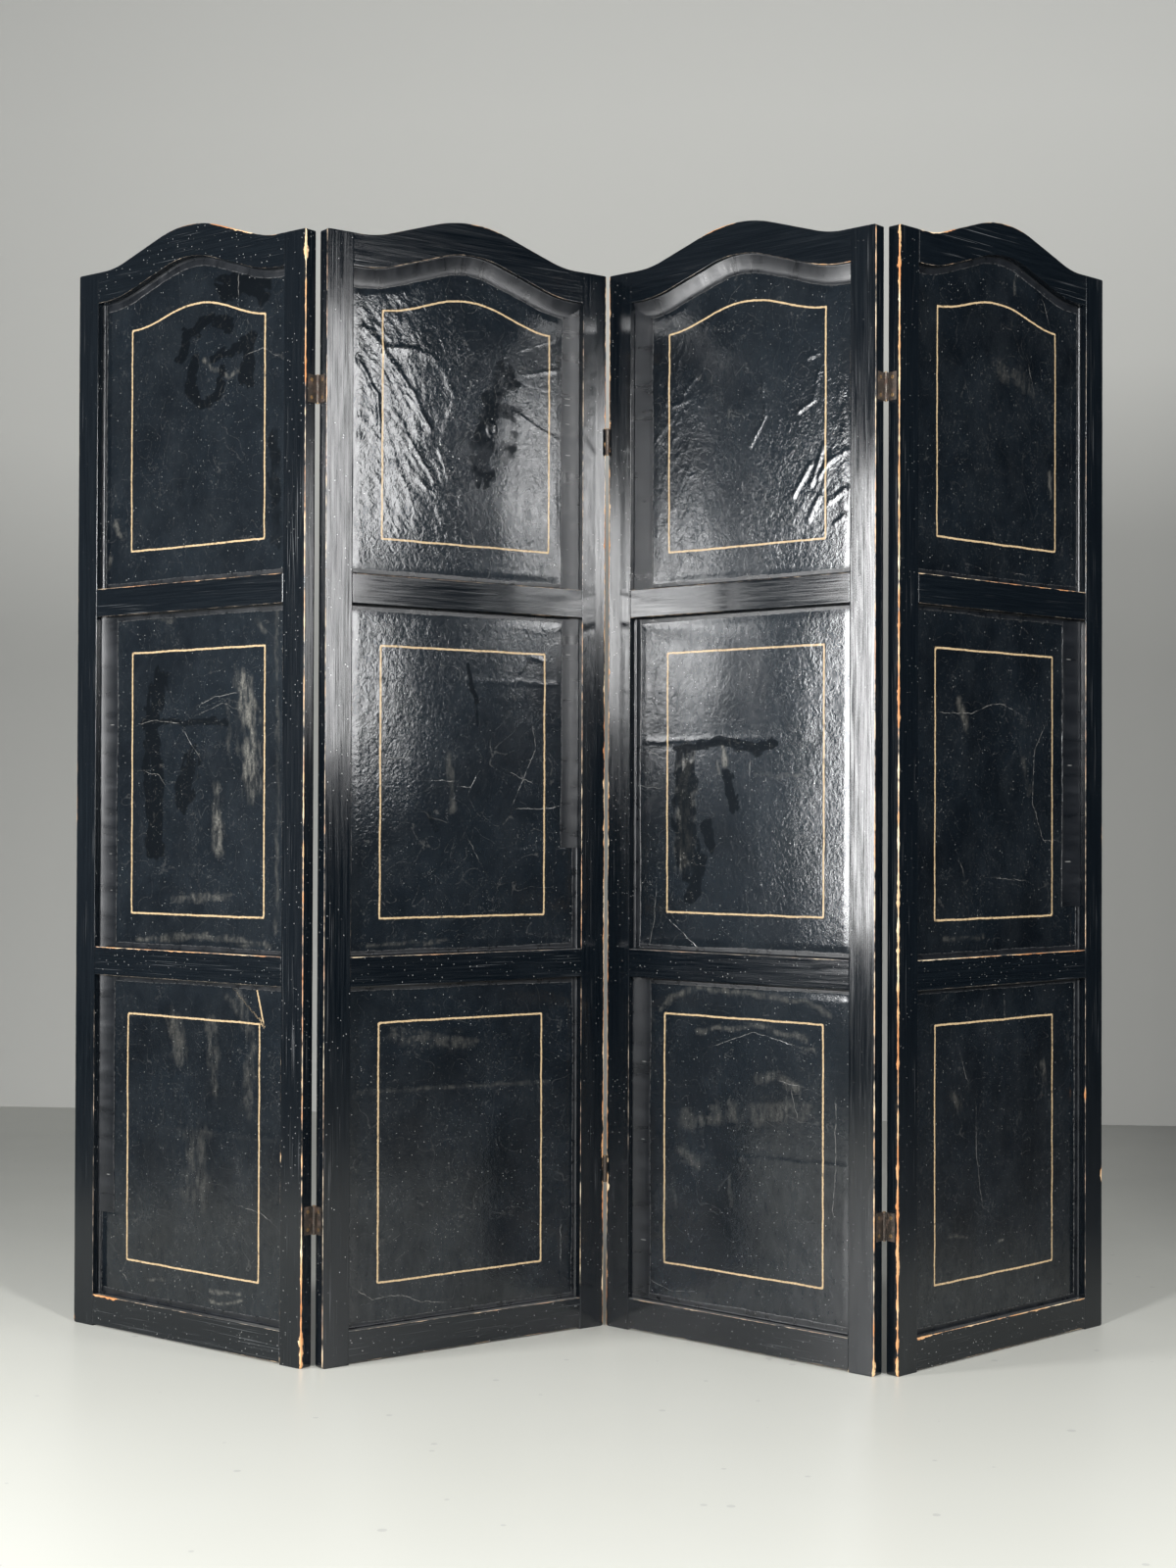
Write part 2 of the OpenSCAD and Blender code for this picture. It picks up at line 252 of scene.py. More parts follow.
def sectionRing(corners, cuts=()):
    # A section's outline as ring points. Every corner is an arc: point = corner + radius times
    # (e1 (sin t - 1) + e2 (1 - cos t)), with e1 and e2 the edges before and after it. Points near
    # each corner follow at growing distances, so that wear is drawn finely there.
    pts = np.array([c[:2] for c in corners], float)
    count = len(pts)
    nxt = np.roll(pts, -1, 0) - pts
    lengths = np.hypot(nxt[:, 0], nxt[:, 1])
    along = nxt / lengths[:, None]
    area = 0.5 * np.sum(pts[:, 0] * np.roll(pts[:, 1], -1) - np.roll(pts[:, 0], -1) * pts[:, 1])
    side = 1 if area > 0 else -1
    base, push, out, near, gap = [], [], [], [], []
    for k in range(count):
        e1, e2 = along[k - 1], along[k]
        n1, n2 = (side * np.array([e[1], -e[0]]) for e in (e1, e2))
        for t in np.linspace(0, math.pi / 2, 5):
            base.append(pts[k])
            push.append(e1 * (math.sin(t) - 1) + e2 * (1 - math.cos(t)))
            out.append(n1 * math.cos(t) + n2 * math.sin(t))
            near.append(k)
            gap.append(0.6 * abs(t / (math.pi / 4) - 1))
        steps = [d for d in wearFinish["ringSteps"] if d < lengths[k] / 2 - 0.8]
        marks = [(d, k, d) for d in steps]
        if lengths[k] > 20:
            marks.append((lengths[k] / 2, k, lengths[k] / 2))
        marks += [(lengths[k] - d, (k + 1) % count, d) for d in reversed(steps)]
        marks += [(d, k if d < lengths[k] / 2 else (k + 1) % count, min(d, lengths[k] - d))
                  for e, d in cuts if e == k]
        for d, corner, g in sorted(marks):
            base.append(pts[k] + e2 * d)
            push.append((0, 0))
            out.append(n2)
            near.append(corner)
            gap.append(g)
    return {"base": np.array(base), "push": np.array(push), "out": np.array(out),
            "near": np.array(near), "gap": np.array(gap)}


def arrisWear(stations, corners, worn, seed):
    # Width of bare wood along each arris: the stretches that are given, (from, to, width), each
    # roughened by noise, over small nicks where the noise is high
    wear, fade = np.zeros((len(stations), len(corners))), wearFinish["fade"]
    for k, corner in enumerate(corners):
        n = seed * 9 + k
        slow = layeredNoise(stations / 38, np.full(len(stations), k + 0.5), n)
        quick = softNoise(stations / 9, np.full(len(stations), k + 7.5), n + 3)
        wear[:, k] = wearFinish["nicks"] * smoothStep(slow + 0.5 * quick, 0.95, 1.25)
        for start, stop, size in worn.get(corner[2], ()):
            inside = smoothStep(stations, start - fade, start + fade)
            inside = inside * (1 - smoothStep(stations, stop - fade, stop + fade))
            rough = np.clip(1.9 * slow + 0.9 * quick - 0.6, 0, 1.6)
            wear[:, k] = np.maximum(wear[:, k], inside * size * rough)
    return wear


def member(name, n, corners, stations, place, worn, seed, grainAxis, cuts=(), shape=None):
    # A piece of the frame: its section stands at every station of a path and place() sets it in
    # the fold. Radius of each arris = crisp radius + part of its wear.
    ring = sectionRing(corners, cuts)
    wear = arrisWear(stations, corners, worn, seed)
    uneven = np.stack([softNoise(stations / 55, np.full(len(stations), k), seed + k)
                       for k in range(len(corners))], 1)
    radius = wearFinish["roundness"] + wearFinish["roundnessSpread"] * (uneven - 0.5)
    radius = np.minimum(radius + wearFinish["widening"] * wear, wearFinish["widest"])[:, ring["near"]]
    section = ring["base"][None] + radius[..., None] * ring["push"][None]
    fromEnd = np.minimum(stations - stations[0], stations[-1] - stations)
    inset = wearFinish["endChamfer"] * (1 - smoothStep(fromEnd, -0.2, 0.9))
    section = section - inset[:, None, None] * ring["out"][None]
    if shape is not None:
        section = shape(stations, section, ring)
    local = place(stations, section)
    rows, cols = section.shape[:2]
    lids = [tuple(range(cols)), tuple(range((rows - 1) * cols, rows * cols))]
    grain = local.copy()
    if grainAxis == "x":
        grain = grain[..., [1, 2, 0]]
    grain = grain + np.array([41.0 * seed, 17.0 * seed, 130.0 * seed])
    piece = meshPiece(
        name, standInPlace(n, local).reshape(-1, 3), ringQuads(rows, cols), lids,
        floats={"arrisGap": np.broadcast_to(ring["gap"], (rows, cols)), "bareWidth": wear[:, ring["near"]]},
        vectors={"grain": grain * mm}, sharp=50)
    return enlist(piece, n, name)


def evenStations(start, stop, extra=()):
    # sections at even steps, closer at both ends, and at the extra places
    close = (0, 0.4, 0.9, 1.8, 3.2, 5)
    steps = np.arange(start + 9, stop - 8, wearFinish["station"])
    keep = [s for s in steps if all(abs(s - e) > 1.5 for e in extra)]
    return np.array(sorted([start + c for c in close] + keep + list(extra) + [stop - c for c in close]))


# Wear along the arrises that the photograph shows, in millimetres: (from, to, width of bare wood).
# Stiles run from the floor up, rails from the left stile's edge at x = 48.
stileWear = {
    (1, "left"): ([(0, 14, 1.6), (40, 1783, 0.35), (840, 900, 1.2)], [(60, 560, 0.25)]),
    (1, "right"): ([(0, 60, 4.4), (50, 330, 1.5), (300, 760, 0.7), (700, 1180, 1.0), (1150, 1560, 0.8),
                    (1540, 1740, 1.3), (1735, 1783, 3.2)], [(0, 12, 2.4), (60, 500, 0.35), (318, 332, 1.6),
                    (640, 1180, 0.25)]),
    (2, "left"): ([(0, 30, 1.2), (30, 1783, 0.4)], [(600, 1190, 0.2)]),
    (2, "right"): ([(0, 240, 1.8), (240, 330, 3.2), (320, 1460, 2.2), (1450, 1560, 3.2), (1550, 1783, 2.0)],
                    [(70, 590, 0.4), (640, 1190, 0.6), (1250, 1700, 0.4)]),
    (3, "left"): ([(0, 240, 1.8), (225, 310, 3.2), (300, 1460, 2.0), (1450, 1560, 3.0), (1550, 1783, 2.0)],
                   [(300, 560, 0.25)]),
    (3, "right"): ([(0, 22, 4.0), (20, 900, 0.8), (880, 1783, 0.6)], [(0, 10, 2.0), (1500, 1690, 0.25)]),
    (4, "left"): ([(0, 70, 4.0), (60, 500, 2.4), (480, 1250, 2.0), (1230, 1700, 1.7), (1690, 1783, 2.6)],
                   [(60, 560, 0.2)]),
    (4, "right"): ([(0, 1783, 0.35), (246, 268, 3.4), (820, 850, 1.4)], [(60, 590, 0.3), (385, 405, 2.2),
                    (640, 1190, 0.5), (1250, 1690, 0.3)]),
}
# Rails, one entry a fold: the head's or the upper arris, then the lower one; a number runs all along
railWear = {
    "top_rail": [([(150, 447, 0.6), (275, 400, 2.0)], 0.2),
                 ([(0, 447, 0.25), (230, 300, 1.2)], [(20, 430, 0.35)]),
                 ([(0, 447, 0.25), (150, 230, 1.1)], [(20, 420, 0.2), (400, 470, 1.0)]),
                 ([(0, 447, 0.3), (0, 90, 2.0), (160, 300, 0.7)], [(0, 120, 0.5)])],
    "upper_rail": [(0.6, 0.25), (0.4, [(300, 447, 0.3)]), (0.35, [(0, 200, 0.3)]), (0.9, 0.25)],
    "lower_rail": [(1.0, 0.25), ([(0, 240, 0.6), (230, 447, 0.3)], []), (0.4, []), (1.1, [(60, 300, 0.3)])],
    "bottom_rail": [([(0, 60, 3.0), (50, 447, 0.4)], [(300, 447, 0.5)]), (0.4, 0.4), (0.5, 0.4),
                    ([(0, 447, 1.2), (0, 50, 3.2)], 0.5)],
}


def stretches(value, start=0):
    # a worn arris as its stretches, moved to where the piece starts
    if isinstance(value, float):
        value = [(0, 447, value)]
    return [(a + start, b + start, w) for a, b, w in value]


def stile(n, side):
    isLeft = side == "left"
    joint = n - 1 if isLeft else n
    corners = [(0, 0, "frontOuter"), (stileWidth, 0, "frontInner"), (stileWidth, lip, "lip"),
               (stileWidth - rebate, lip, "rebate"), (stileWidth - rebate, thickness, "backInner"),
               (0, thickness, "backOuter")]
    cuts, extra, seat = (), [], hingeSeats.get(joint)
    if seat:
        edge = seatSizes["wood"] if seat["atBack"] else thickness - seatSizes["wood"]
        cuts = [(5, thickness - edge - 0.05), (5, thickness - edge + 0.05)]
        for z in seat["heights"]:
            for s in (-1, 1):
                extra += [z + s * seatSizes["halfHeight"], z + s * (seatSizes["halfHeight"] + 0.1)]

    def shape(stations, section, ring):
        # the outer edge is rounded off at the foot and the top, and let in for the hinge leaves
        foot, top = foldSizes["footRound"], foldSizes["topRound"]
        up, down = np.clip(foot - stations, 0, foot), np.clip(top - (stileHeight - stations), 0, top)
        shift = foot - np.sqrt(foot ** 2 - up ** 2) + top - np.sqrt(top ** 2 - down ** 2)
        section = section.copy()
        share = np.clip(1 - section[..., 0] / (stileWidth / 2), 0, 1)
        section[..., 0] += shift[:, None] * share
        if seat:
            inSeat = np.zeros(len(stations), bool)
            for z in seat["heights"]:
                inSeat |= np.abs(stations - z) <= seatSizes["halfHeight"] + 0.001
            y = section[..., 1]
            leaf = y > edge + 0.001 if seat["atBack"] else y < edge - 0.001
            section[..., 0] = np.where(inSeat[:, None] & leaf & (section[..., 0] < seatSizes["depth"]),
                                       seatSizes["depth"], section[..., 0])
        return section

    def place(stations, section):
        x = section[..., 0] if isLeft else width - section[..., 0]
        return np.stack([x, section[..., 1], np.broadcast_to(stations[:, None], x.shape)], -1)

    outer, inner = stileWear[(n, side)]
    return member(f"fold_{n}_{side}_stile", n, corners, evenStations(0.0, stileHeight, extra), place,
                  {"frontOuter": outer, "frontInner": inner}, 2 * n + isLeft, "z", cuts, shape)


def reachBehind(x, section):
    # at a rail's ends the part behind the leather reaches on into the stiles' rebates
    x = x.copy()
    behind = section[..., 1] > lip + foldSizes["leather"]
    x[0, behind[0]] -= rebate
    x[-1, behind[-1]] += rebate
    return x


def straightRail(n, key, low, high):
    # the part in front of the leather fits between the stiles
    corners = [(low, 0, "frontBottom"), (high, 0, "frontTop"), (high, lip, "lipTop"),
               (high - rebate, lip, "rebateTop"), (high - rebate, thickness, "backTop")]
    if key == "bottom_rail":
        corners += [(low, thickness, "backBottom")]
    else:
        corners += [(low + rebate, thickness, "backBottom"), (low + rebate, lip, "rebateBottom"),
                    (low, lip, "lipBottom")]
    start, stop = stileWidth, width - stileWidth

    def place(stations, section):
        x = reachBehind(np.broadcast_to(stations[:, None], section.shape[:2]), section)
        return np.stack([x, section[..., 1], section[..., 0]], -1)

    upper, lower = (stretches(v, start) for v in railWear[key][n - 1])
    return member(f"fold_{n}_{key}", n, corners, evenStations(start, stop), place,
                  {"frontTop": upper, "frontBottom": lower}, 20 + 5 * n + int(low / 300), "x")


# The head's curve, walked from the left stile: level, hollow, straight slope, crest, and back
slope = math.radians(foldSizes["slopeDegrees"])
walk = [foldSizes["shoulder"], foldSizes["hollowRadius"] * slope, foldSizes["slopeLength"],
        foldSizes["crestRadius"] * slope]
halfWalk = sum(walk)
hollowStart = stileWidth + foldSizes["shoulder"]
hollowCentre = stileHeight + foldSizes["hollowRadius"]
crestCentre = foldSizes["crestHeight"] - foldSizes["crestRadius"]


def headPoint(s, drop):
    # The point of the head curve at arc length s, lowered square to the curve. On the hollow it is
    # centre + (R + drop)(sin, -cos), on the slope a straight line, on the crest centre +
    # (R - drop)(-sin, cos); the right half mirrors the left.
    t = np.where(s > halfWalk, 2 * halfWalk - s, s)
    hollow, crest = foldSizes["hollowRadius"], foldSizes["crestRadius"]
    level = np.clip(t, 0, walk[0])
    a = np.clip((t - walk[0]) / hollow, 0, slope)
    run = np.clip(t - walk[0] - walk[1], 0, walk[2])
    b = np.clip((halfWalk - t) / crest, 0, slope)
    onCrest = t > halfWalk - walk[3]
    x = stileWidth + level + (hollow + drop) * np.sin(a) + run * math.cos(slope)
    z = hollowCentre - (hollow + drop) * np.cos(a) + run * math.sin(slope)
    x = np.where(onCrest, width / 2 - (crest - drop) * np.sin(b), x)
    z = np.where(onCrest, crestCentre + (crest - drop) * np.cos(b), z)
    return np.where(s > halfWalk, width - x, x), z


def headHeight(x, drop):
    # height over x of the curve that lies drop below the head
    u = np.where(x > width / 2, width - x, x)
    hollow, crest = foldSizes["hollowRadius"] + drop, foldSizes["crestRadius"] - drop
    hollowEnd = hollowStart + hollow * math.sin(slope)
    crestBegin = width / 2 - crest * math.sin(slope)
    z = np.full(u.shape, stileHeight - drop)
    inHollow = (u > hollowStart) & (u <= hollowEnd)
    z = np.where(inHollow, hollowCentre - np.sqrt(np.maximum(hollow ** 2 - (u - hollowStart) ** 2, 1)), z)
    slopeFoot = hollowCentre - hollow * math.cos(slope)
    z = np.where((u > hollowEnd) & (u < crestBegin), slopeFoot + (u - hollowEnd) * math.tan(slope), z)
    crown = crestCentre + np.sqrt(np.maximum(crest ** 2 - (u - width / 2) ** 2, 1))
    return np.where(u >= crestBegin, crown, z)


def topRail(n):
    corners = [(0, 0, "headFront"), (headRail, 0, "underFront"), (headRail, lip, "underLip"),
               (headRail - rebate, lip, "rebate"), (headRail - rebate, thickness, "backUnder"),
               (0, thickness, "headBack")]

    def place(stations, section):
        x, z = headPoint(np.broadcast_to(stations[:, None], section.shape[:2]), section[..., 0])
        return np.stack([reachBehind(x, section), section[..., 1], z], -1)

    upper, lower = (stretches(v) for v in railWear["top_rail"][n - 1])
    return member(f"fold_{n}_top_rail", n, corners, evenStations(0.0, 2 * halfWalk), place,
                  {"headFront": upper, "underFront": lower}, 70 + n, "x")


framePieces = []
for n in folds:
    framePieces += [stile(n, "left"), stile(n, "right"), topRail(n)]
    for key, low, high in (("upper_rail", "upperRail", "midRail"), ("lower_rail", "lowerRail", "midRail"),
                           ("bottom_rail", "footGap", "bottomRail")):
        framePieces.append(straightRail(n, key, foldSizes[low], foldSizes[low] + foldSizes[high]))
print("frame members:", len(framePieces))


# Tapes in the corners of the openings
tapeShape = {
    "archTop": 7.2,          # depth below the front face where a broad arch tape ends on the frame
    "broadTop": 10.2,        # the same on the broad tapes at the sides
    "narrowTop": 12.4,       # the same on the narrow tapes
    "fillet": 3.2,           # breadth of the narrow tapes' hollow beside the frame
    "thickness": 0.8,
    "clearance": 0.3,
    "ragged": 2.4,           # how far the edge is torn in and out
    "waver": 3.0,            # how far the breadth drifts
    "narrowest": 4.5,
    "broadFrom": 16,         # a tape broader than this has the deep hollow
    "step": 5.0,
    "fall": 2.0,             # power by which a tape falls from the frame to the leather
    "archFall": 1.35,        # the same on the broad arches
    "sideLift": 0.18,        # the side tapes lie this much over the others
}

# Breadth of the tape along each side of an opening, in millimetres: left, right, head and foot. A
# breadth that changes is a list of (from, to, breadth).
tapeStrips = {
    (1, "top"): (8, 8, 14, 9),
    (1, "middle"): (39, 8, 9, 9),
    (1, "bottom"): ([(0, 192, 7), (192, 2000, 35)], 8, 9, 11),
    (2, "top"): (8, 35, 30, 9),
    (2, "middle"): (8, [(810, 2000, 33), (0, 810, 10)], 9, 9),
    (2, "bottom"): (8, 8, 9, 9),
    (3, "top"): (37, 8, 30, 9),
    (3, "middle"): (13, 8, 9, 9),
    (3, "bottom"): (36, 8, 9, 12),
    (4, "top"): (8, 6, 12, 9),
    (4, "middle"): (8, [(714, 2000, 47), (0, 714, 8)], 9, 9),
    (4, "bottom"): (8, 12, 9, 9),
}


def tapeSides(n, panel):
    # each side's strips as (from, to, breadth)
    lists = [v if isinstance(v, list) else [(0, 2000, v)] for v in tapeStrips[(n, panel)]]
    return dict(zip(("left", "right", "arch", "low"), lists))


def tapeBreadth(strips, along):
    # breadth at each place along a side
    breadth = np.zeros(along.shape)
    for start, stop, value in strips:
        breadth = np.where((along >= start) & (along < stop), value, breadth)
    return breadth


def tapeStrip(length, breadth, seed, lift, isArch):
    # One strip in its own frame: s along it, a away from the frame's wall, y the depth. It falls from
    # the wall to the leather by a power of what is left of its breadth, lies flat on the leather to a
    # ragged edge, and goes back below.
    clear = tapeShape["clearance"]
    skin = lip - tapeShape["thickness"] - lift
    s = np.arange(0, length + tapeShape["step"] * 0.5, tapeShape["step"])
    s = np.append(s[s < length - 1], length)
    still = np.zeros(len(s))
    edge = breadth + tapeShape["ragged"] * (layeredNoise(s / 16, still + 0.5, seed) - 0.5)
    edge = edge + tapeShape["waver"] * (softNoise(s / 120, still + 3.5, seed) - 0.5)
    edge = np.maximum(edge, tapeShape["narrowest"])[:, None]
    broad = breadth > tapeShape["broadFrom"]
    depth = "narrowTop" if not broad else "archTop" if isArch else "broadTop"
    top = tapeShape[depth] + 0.9 * (layeredNoise(s / 30, still + 5.5, seed + 1) - 0.5)
    top = top[:, None]
    hollow = edge - 2.5 if broad else np.minimum(0.6 * edge, tapeShape["fillet"])
    hollow = hollow * (0.9 + 0.1 * softNoise(s / 90, still + 7.5, seed + 2))[:, None]
    u = np.array([0, 0.05, 0.13, 0.25, 0.4, 0.58, 0.78, 1.0])
    fall = tapeShape["archFall" if broad and isArch else "fall"]
    bend = np.stack([clear + hollow * u, skin - (skin - top) * (1 - u) ** fall], -1)
    share = np.array([0.14, 0.28, 0.42, 0.56, 0.7, 0.84, 0.95])
    run = clear + hollow
    flatA = run + (edge - run) * share
    dip = 0.15 * layeredNoise(s[:, None] / 30, flatA / 9, seed + 4)
    flat = np.stack([flatA, skin - dip], -1)
    rim = np.stack([edge, edge * 0 + skin + 0.55], -1)
    under = np.stack([np.concatenate([edge - 0.3, edge * 0 + lip - 0.02], 1),
                      np.concatenate([edge * 0 + clear + 1.0, edge * 0 + lip - 0.02], 1),
                      np.concatenate([edge * 0 + 0.05, edge * 0 + lip - 1.5], 1),
                      np.concatenate([edge * 0 + 0.05, top + 0.1], 1)], 1)
    return s, np.concatenate([bend, flat, rim, under], 1)


def tapes(n):
    points, quads, lids, grain, bright, count = [], [], [], [], [], 0
    for panel, (low, high) in openings.items():
        sides = tapeSides(n, panel)
        isTop = panel == "top"
        ends = {"left": (low, stileHeight - headRail if isTop else high), "low": (0, width - 2 * stileWidth)}
        ends["right"], ends["arch"] = ends["left"], (0, 2 * halfWalk) if isTop else ends["low"]
        strips = [(side, max(ends[side][0], start), min(ends[side][1], stop), breadth)
                  for side in ("left", "right", "low", "arch") for start, stop, breadth in sides[side]]
        for k, (side, start, stop, breadth) in enumerate(strips):
            lift = tapeShape["sideLift"] if side in ("left", "right") else 0.0
            s, profile = tapeStrip(stop - start, breadth, 100 * n + 10 * k + len(panel), lift, side == "arch")
            a, y = profile[..., 0], profile[..., 1]
            along = s[:, None] + start + 0 * a
            if side == "left":
                x, z = stileWidth + a, along
            elif side == "right":
                x, z = width - stileWidth - a, along
            elif side == "low":
                x, z = stileWidth + along, low + a
            elif isTop:
                x, z = headPoint(along, headRail + a)
            else:
                x, z = stileWidth + along, high - a
            local = np.stack([x, y, z], -1)
            rows, cols = a.shape
            points.append(local.reshape(-1, 3))
            quads.append((ringQuads(rows, cols), count))
            lids += [(count, cols), (count + (rows - 1) * cols, cols)]
            across = np.arange(cols) + 0 * a
            grain.append(np.stack([across, along, 0 * a + 50.0 * k + 300 * n], -1).reshape(-1, 3))
            bright.append(np.clip(1 - np.abs(a - np.max(a, 1, keepdims=True)) / 1.5, 0, 1).reshape(-1))
            count += rows * cols
    faces = []
    for (quad, shift), pts in zip(quads, points):
        faces.append((quad[:, ::-1] if quadVolume(pts, quad) < 0 else quad) + shift)
    closing = []
    for k, (start, cols) in enumerate(lids):
        quad = faces[k // 2]
        ring = list(range(start, start + cols))
        # an end is wound against the faces that meet it
        edges = {(int(a), int(b)) for a, b in zip(quad.ravel(), np.roll(quad, -1, 1).ravel())}
        closing.append(tuple(ring[::-1]) if (ring[0], ring[1]) in edges else tuple(ring))
    piece = meshPiece(f"fold_{n}_tape_strips", standInPlace(n, np.concatenate(points)),
                      np.concatenate(faces), closing,
                      floats={"rim": np.concatenate(bright)},
                      vectors={"grain": np.concatenate(grain) * mm}, sharp=60)
    return enlist(piece, n, f"fold_{n}_tapes")


tapePieces = [tapes(n) for n in folds]
print("tapes:", len(tapePieces))


# Leathers
leatherLook = {
    "grid": 3.0,             # mm between points
    "fineGrid": 2.4,         # on the leathers with creases
    "goldWobble": 0.9,
    "billow": 0.7,
    "billowSize": 160,
    "dents": 0.45,
    "dentSize": 34,
    "tapeFade": 13,          # breadth beside a tape over which the leather comes free
    "pillow": 0.5,           # rise of the leather off its board in the middle, where none is given
    "pillowEdge": 135,       # breadth over which it rises
}
pillowHeights = {(2, "top"): 3.2, (2, "middle"): 1.2, (3, "top"): 0.8, (3, "middle"): 0.15,
                 (3, "bottom"): 0.3}
# Painted line of each leather in its fold's millimetres: left, right, low and high; on the tops the
# arch's left corner, peak and right corner stand for the high
goldLines = {
    (1, "top"): (119, 437, 1305, 1677, 1703, 1665),
    (1, "middle"): (124, 440, 699, 1134),
    (1, "bottom"): (117, 432, 118, 530),
    (2, "top"): (110, 435, 1305, 1670, 1705, 1670),
    (2, "middle"): (109, 428, 699, 1134),
    (2, "bottom"): (108, 424, 120, 533),
    (3, "top"): (120, 438, 1304, 1669, 1703, 1671),
    (3, "middle"): (118, 436, 704, 1136),
    (3, "bottom"): (114, 436, 120, 535),
    (4, "top"): (112, 427, 1309, 1675, 1702, 1675),
    (4, "middle"): (108, 420, 700, 1132),
    (4, "bottom"): (109, 421, 124, 534),
}

